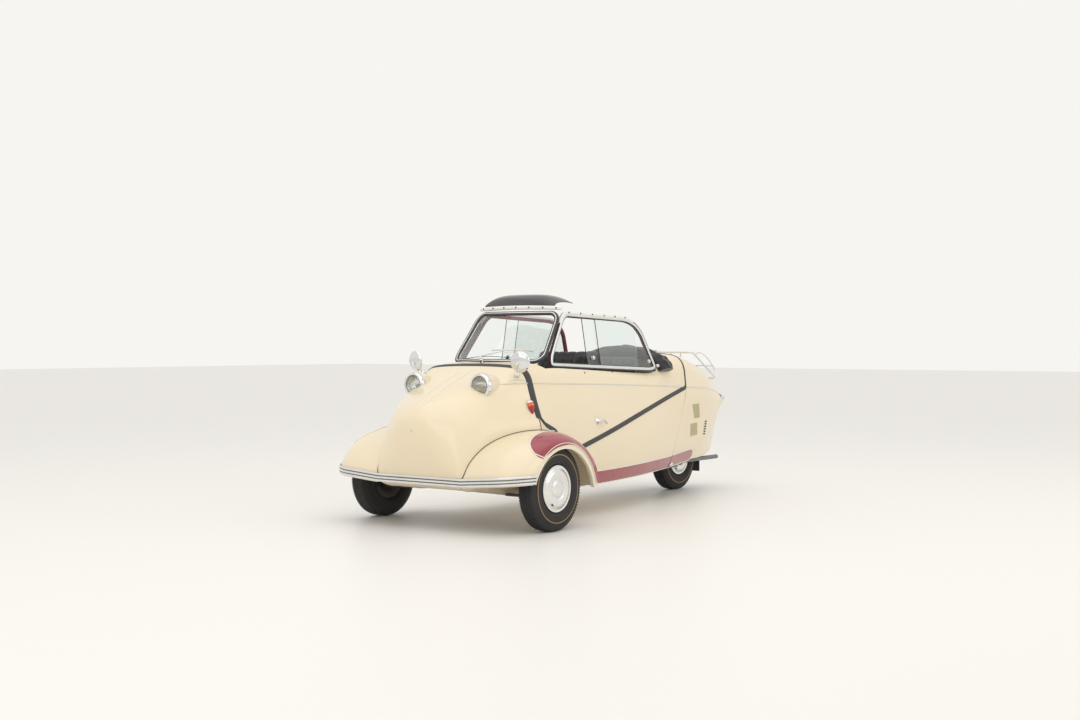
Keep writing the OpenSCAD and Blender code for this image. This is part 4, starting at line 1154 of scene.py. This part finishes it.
def pad(name, side_view, half, hides, channels):
    """side_view is the pad's four corners (y, z) in order, in millimetres."""
    a, b, c, d = [np.array(q, float) for q in side_view]
    across, up, deep = 14, 14, 5
    bm = bmesh.new()
    grid = {}
    for i in range(across + 1):
        for j in range(up + 1):
            for k in range(deep + 1):
                if 0 < i < across and 0 < j < up and 0 < k < deep:
                    continue
                x, u, v = half * (2 * i / across - 1), j / up, k / deep
                q = (a * (1 - u) + b * u) * (1 - v) + (d * (1 - u) + c * u) * v
                grid[i, j, k] = bm.verts.new((x / 1000, q[0] / 1000, q[1] / 1000))
    sizes = (across, up, deep)
    for axis in range(3):
        m, n = [q for q in range(3) if q != axis]
        for end in (0, sizes[axis]):
            for i in range(sizes[m]):
                for j in range(sizes[n]):
                    quad = []
                    for di, dj in ((0, 0), (1, 0), (1, 1), (0, 1)):
                        at = [0, 0, 0]
                        at[axis], at[m], at[n] = end, i + di, j + dj
                        quad.append(grid[tuple(at)])
                    bm.faces.new(quad)
    for _ in range(5):
        bmesh.ops.smooth_vert(bm, verts=bm.verts, factor=0.4, use_axis_x=True, use_axis_y=True,
                              use_axis_z=True)
    bmesh.ops.recalc_face_normals(bm, faces=bm.faces)
    mesh = bpy.data.meshes.new(name)
    bm.to_mesh(mesh)
    bm.free()
    mesh.materials.append(vinyl)
    piece = bpy.data.objects.new(name, mesh)
    bpy.context.collection.objects.link(piece)
    bpy.context.view_layer.objects.active = piece

    def settle():
        shown = piece.evaluated_get(bpy.context.evaluated_depsgraph_get())
        done = bpy.data.meshes.new_from_object(shown)
        piece.modifiers.clear()
        piece.data = done

    remesh = piece.modifiers.new("remesh", "REMESH")
    remesh.mode = "VOXEL"
    remesh.voxel_size = 0.009
    settle()
    rest = np.array([v.co[:] for v in piece.data.vertices])
    sim = piece.modifiers.new("cloth", "CLOTH")
    sim.settings.use_pressure = True
    sim.settings.uniform_pressure_force = 4
    sim.settings.effector_weights.gravity = 0
    sim.settings.quality = 4
    for f in range(1, 21):
        bpy.context.scene.frame_set(f)
    settle()
    bpy.context.scene.frame_set(1)
    now = np.array([v.co[:] for v in piece.data.vertices])
    move = now - rest
    far = np.linalg.norm(move, axis=1)[:, None]
    now = rest + move * np.minimum(1, CAP / np.maximum(far, 1e-9)) * 0.6
    piece.data.vertices.foreach_set("co", now.ravel())
    # sewn channels run up the pad at even steps
    centre = np.array([v.co[:] for v in piece.data.vertices]).mean(axis=0)
    flat = np.array([v.co[:] for v in piece.data.vertices])
    depth = sum(np.exp(-((flat[:, 0] - x / 1000) / 0.006) ** 2) for x in channels)
    normal = np.array([v.normal[:] for v in piece.data.vertices])
    flat -= normal * (0.006 * np.minimum(depth, 1))[:, None]
    piece.data.vertices.foreach_set("co", flat.ravel())
    more = piece.modifiers.new("smooth", "SUBSURF")
    more.levels = more.render_levels = 1
    settle()
    piece.data.shade_smooth()
    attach(piece, "body")
    if hides:
        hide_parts(*hides)
    return piece


rows_of_sewing = [-120, -60, 0, 60, 120]
pad("front_cushion", ((-425, 275), (-425, 385), (-205, 360), (-205, 275)), 212, [], rows_of_sewing)
pad("front_backrest", ((-208, 372), (-128, 868), (-82, 862), (-118, 300)), 212, ["front_seat"], rows_of_sewing)
pad("rear_cushion", ((45, 275), (45, 375), (180, 350), (180, 275)), 200, [], rows_of_sewing)
pad("rear_backrest", ((182, 360), (252, 836), (300, 828), (274, 280)), 200, ["rear_seat"], rows_of_sewing)

# ---- Wheels and tyres ----
# Cross-ply tyres with a gold line on the wall run on pressed steel wheels. A large polished
# cap with a raised middle hides each wheel; a black disc on it is painted shade for the valve hole.
tyre_look = look("tyre_rubber", (0.016, 0.016, 0.017), (0.030, 0.029, 0.028), rough=(0.62, 0.82),
                 bump=0.0002, scales=(7, 260))
gold = look("gold_line", (0.50, 0.30, 0.12), (0.42, 0.25, 0.10), rough=(0.45, 0.6), scales=(40, 300))
steel = look("painted_steel", (0.025, 0.025, 0.026), (0.05, 0.045, 0.04), rough=(0.4, 0.6),
             bump=0.0001, scales=(20, 300))
# Flat near-black for openings: painted shade in place of the dark inside of the valve hole and the louvre slots.
opening_shade_black = look("painted_hole_shade", (0.006, 0.006, 0.006), (0.012, 0.012, 0.012), rough=(0.7, 0.9))
for wheel, x, y, face, body in (("front_left", 535, -1020, 1, "front_left_road_wheel"),
                                ("front_right", -535, -1020, -1, "front_right_road_wheel"),
                                ("rear", 0, 1010, 1, "rear_road_wheel")):
    c, a = (x, y, 205), (face, 0, 0)
    tyre = Shape().lathe(curve_through([(113.5, -33), (120, -42), (134, -47.5), (152, -49.5), (170, -48), (184, -43.5),
                          (193, -38)], 3)
                         + [(199.5, -33), (201.5, -28)] + sum([[(201.7, v - 4.4), (204.4, v - 3.2), (204.6, v + 3.2),
                                                              (201.7, v + 4.4)] for v in (-19.5, 0, 19.5)], [])
                         + [(201.5, 28), (199.5, 33)]
                         + curve_through([(193, 38), (184, 43.5), (170, 48), (152, 49.5), (134, 47.5), (120, 42),
                                          (113.5, 33)], 3) + [(110, 20), (110, -20)], c, a, 128)
    tyre.make(wheel + "_tyre_skin", body, "tyre_rubber", [tyre_look], hides=[wheel + "_tyre"], sharp=45)
    blocks = []
    for row, v in enumerate((-30, -10, 10, 30)):
        for i in range(84):
            w = 2 * math.pi * (i + 0.5 * (row % 2)) / 84
            r = 201.6 if abs(v) < 20 else 199.8
            radial = np.array((0, math.cos(w), math.sin(w)))
            blocks.append((np.array(c) + radial * r + np.array((face * v, 0, 0)), tuple(radial), (1, 0, 0)))
    repeat(wheel + "_tread", "block", blocks, (9.5, 9.5, 5.4), tyre_look, body)
    stripe = Shape().lathe([(160.5, 49.0), (163.5, 48.8), (163.5, 49.75), (160.5, 49.95)], c, a, 96)
    for r in (136, 172):
        stripe.lathe([(r - 1, 47.2), (r + 1, 47.2), (r + 0.6, 49.0 if r < 150 else 48.7),
                      (r - 0.6, 49.2 if r < 150 else 48.8)], c, a, 96, look=1)
    stripe.make(wheel + "_gold_line", body, "tyre_rubber", [gold, tyre_look])
    rim = Shape().lathe([(50, -18), (62, -22), (78, -32), (92, -37), (111, -39), (113.5, -36), (112, -32),
                         (104, -28), (100, 0), (101, 22), (105, 32), (112, 35), (114, 39), (112.5, 42), (108, 41),
                         (104, 36), (98, 30), (60, 24), (50, 10)], c, a, 96)
    rim.make(wheel + "_rim", body, "bright_trim", [steel], hides=[wheel + "_wheel"])
    cap = Shape().lathe(curve_through([(0, 55), (14, 54.6), (28, 53), (38, 50.5), (42, 47.5)], 3)
                        + [(45, 46), (48, 46.6)]
                        + curve_through([(54, 49.5), (66, 52), (78, 52), (88, 49), (96, 44), (103, 41.5),
                                         (109, 41.8), (111.5, 43)], 3)
                        + [(112.5, 41), (109, 38), (96, 39), (60, 44), (20, 48), (0, 49)], c, a, 96)
    cap.make(wheel + "_hub_cap", body, "bright_trim", [alloy], sharp=50)
    # A black disc on the cap is painted shade standing in for the valve hole.
    v = np.array((0, -0.55, -0.83)) * 84
    Shape().lathe([(0, 50.6), (8, 50.8), (9, 49.2), (0, 48.6)], np.array(c) + v, a, 24).make(
        wheel + "_painted_hole_shade", body, "bright_trim", [opening_shade_black])

# ---- Door handle, wiper and tail fittings ----
# A chromed lever on a round boss opens the door. The wiper and the tube rack are bright
# plated steel, and ruby lamps in chromed rims end the tail.
handle = Shape()
c = on_side(1, -402, 492)
handle.lathe([(0, 22), (8, 21), (12, 16), (13, 9), (16, 5), (19, 2), (19, -1), (0, -1)], c, (1, 0, 0), 36)
lever = ((17, -4, 4), (21, 12, 8), (22, 34, 5), (20, 56, -6), (17, 66, -14))
handle.tube(curve_through([c + np.array(q) for q in lever], 6),
            0, profile=[(7 * math.cos(v), 4.5 * math.sin(v)) for v in np.linspace(0, 2 * math.pi, 13)[:-1]])
handle.make("handle_lever", "canopy", "bright_trim", [chrome], hides=["door_handle"])

sweep = Shape()
sweep.lathe([(0, 22), (6, 21), (9, 15), (9, 4), (12, 1), (12, -14), (0, -14)], (0, -877, 812), (0, -0.3, 1), 28)
arm = curve_through([(0, -883, 829), (40, -874, 838), (90, -860, 850), (128, -846, 862)], 8)
sweep.tube(arm, 3.0, 10)
blade = [screen(a, 0.10 + 0.10 * (a + 0.15)) + OUT_OF_SCREEN * 9 for a in np.linspace(0.02, 0.80, 20)]
sweep.tube(blade, 2.8, 8)
sweep.make("wiper_arm", "canopy", "bright_trim", [chrome], hides=["wiper"])

rack = Shape()
for s in (1, -1):
    rack.tube(curve_through([(s * 0.1, 965, 841), (s * 120, 965, 841), (s * 145, 970, 840), (s * 154, 990, 834),
                             (s * 151, 1100, 776), (s * 144, 1250, 698), (s * 130, 1283, 682), (s * 100, 1296, 677),
                             (s * 0.1, 1301, 675)], 6), 5.6, 12)
    rack.tube([(s * 79, 965, 838), (s * 79, 962, 788)], 4.6, 10)
    rack.tube(curve_through([(s * 144, 1252, 700), (s * 138, 1276, 730), (s * 120, 1292, 750),
                             (s * 90, 1299, 755), (s * 0.1, 1301, 756)], 6), 4.6, 12)
    rack.tube(curve_through([(s * 153, 1010, 828), (s * 150, 1080, 838), (s * 147, 1180, 800),
                             (s * 140, 1275, 735)], 8), 3.4, 10)
rack.tube([(0, 967, 839), (0, 1120, 764), (0, 1299, 678)], 4.2, 10)
rack.tube([(0, 1301, 680), (0, 1300, 752)], 4.2, 10)
rack.make("tube_rack", "tail_cover", "bright_trim", [chrome], hides=["luggage_rack"])

lamps_red, lamp_rims = Shape(), Shape()
for s in (1, -1):
    c, a = (s * 122, 1378, 552), (s * 0.35, 0.93, 0.05)
    lamps_red.lathe([(0, 22), (9, 20.5), (17, 16), (22, 8), (23.5, 0), (0, -2)], c, a, 36)
    lamp_rims.lathe([(23.5, -8), (28, -6), (29, 0), (26.5, 3.5), (23.5, 2)], c, a, 36)
lamps_red.make("tail_lamp_lenses", "tail_cover", "red_plastic", [ruby], hides=["tail_lamps"])
lamp_rims.make("tail_lamp_rims", "tail_cover", "bright_trim", [chrome])

# ---- Vents ----
# Square mesh panels and a stack of pressed louvres cool the engine on each side.
olive = look("olive_mesh", (0.50, 0.45, 0.27), (0.42, 0.38, 0.22), rough=(0.5, 0.7), bump=0.0012,
             scales=(8, 260))
mesh_panels, slots = Shape(), []
for s in (1, -1):
    for quad in (((766, 536), (860, 538), (884, 454), (801, 451)), ((751, 421), (848, 425), (872, 353), (766, 346))):
        a, b, c, d = [np.array(q, float) for q in quad]

        def at(u, v, t):
            q = (a * (1 - u) + b * u) * (1 - v) + (d * (1 - u) + c * u) * v
            return on_side(s, q[0], q[1], t)
        us = [i / 8 for i in range(9)]
        mesh_panels.sheet([[at(u, v, -1.3) for u in us] for v in us], [[at(u, v, 0.8) for u in us] for v in us])
    for i in range(6):
        z = 424 - 15 * i
        p = on_side(s, 1000, z, -0.6)
        out_dir = on_side(s, 1000, z, -2) - p
        run = on_side(s, 1022, z) - on_side(s, 978, z)
        slots.append((p, tuple(np.array((s, 0.35, 0.1))), tuple(run / np.linalg.norm(run))))
mesh_panels.make("vent_mesh", "tail_cover", "olive_mesh", [olive])
# The louvres are raised flat domes in near-black: painted shade for their slots.
repeat("vent_louvres_painted_shade", "dome", slots, (46, 8, 9), opening_shade_black, "tail_cover")
latch = Shape()
for s in (1, -1):
    for dz, y in ((0, 512), (8, 526)):
        c = on_side(s, y, 196 + dz, -2)
        latch.lathe([(0, 10), (6, 9), (9, 5), (9, -1), (0, -1)], c, (s, 0, -0.1), 24)
    latch.tube([on_side(s, y, 200, -9) for y in (500, 515, 535)], 3.2, 10)
latch.make("tail_latches", "tail_cover", "bright_trim", [chrome])

# ---- Running gear and inside ----
# What stays as drawn gets its own finish: painted steel below, castings behind, ivory
# and black inside.
alloy_cast = look("alloy_castings", (0.30, 0.30, 0.30), (0.20, 0.195, 0.19), rough=(0.45, 0.65),
                  metallic=0.7, bump=0.0004, scales=(12, 180))
grip = look("grip_rubber", (0.02, 0.02, 0.02), (0.035, 0.035, 0.034), rough=(0.5, 0.7), bump=0.0003,
            scales=(9, 320))
for node, finish in (("floor_pan", ivory), ("dashboard", ivory), ("steering_column", steel),
                     ("engine", alloy_cast), ("rear_swing_arm", steel), ("front_suspension", steel),
                     ("exhaust_pipe", alloy_cast), ("mud_flap", rubber), ("hinge_brackets", chrome),
                     ("canopy_hinge_leaves", chrome), ("tail_hinge_leaves", chrome),
                     ("left_knuckle", steel), ("right_knuckle", steel), ("handlebar", grip)):
    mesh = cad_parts[node].data
    mesh.materials.clear()
    mesh.materials.append(finish)
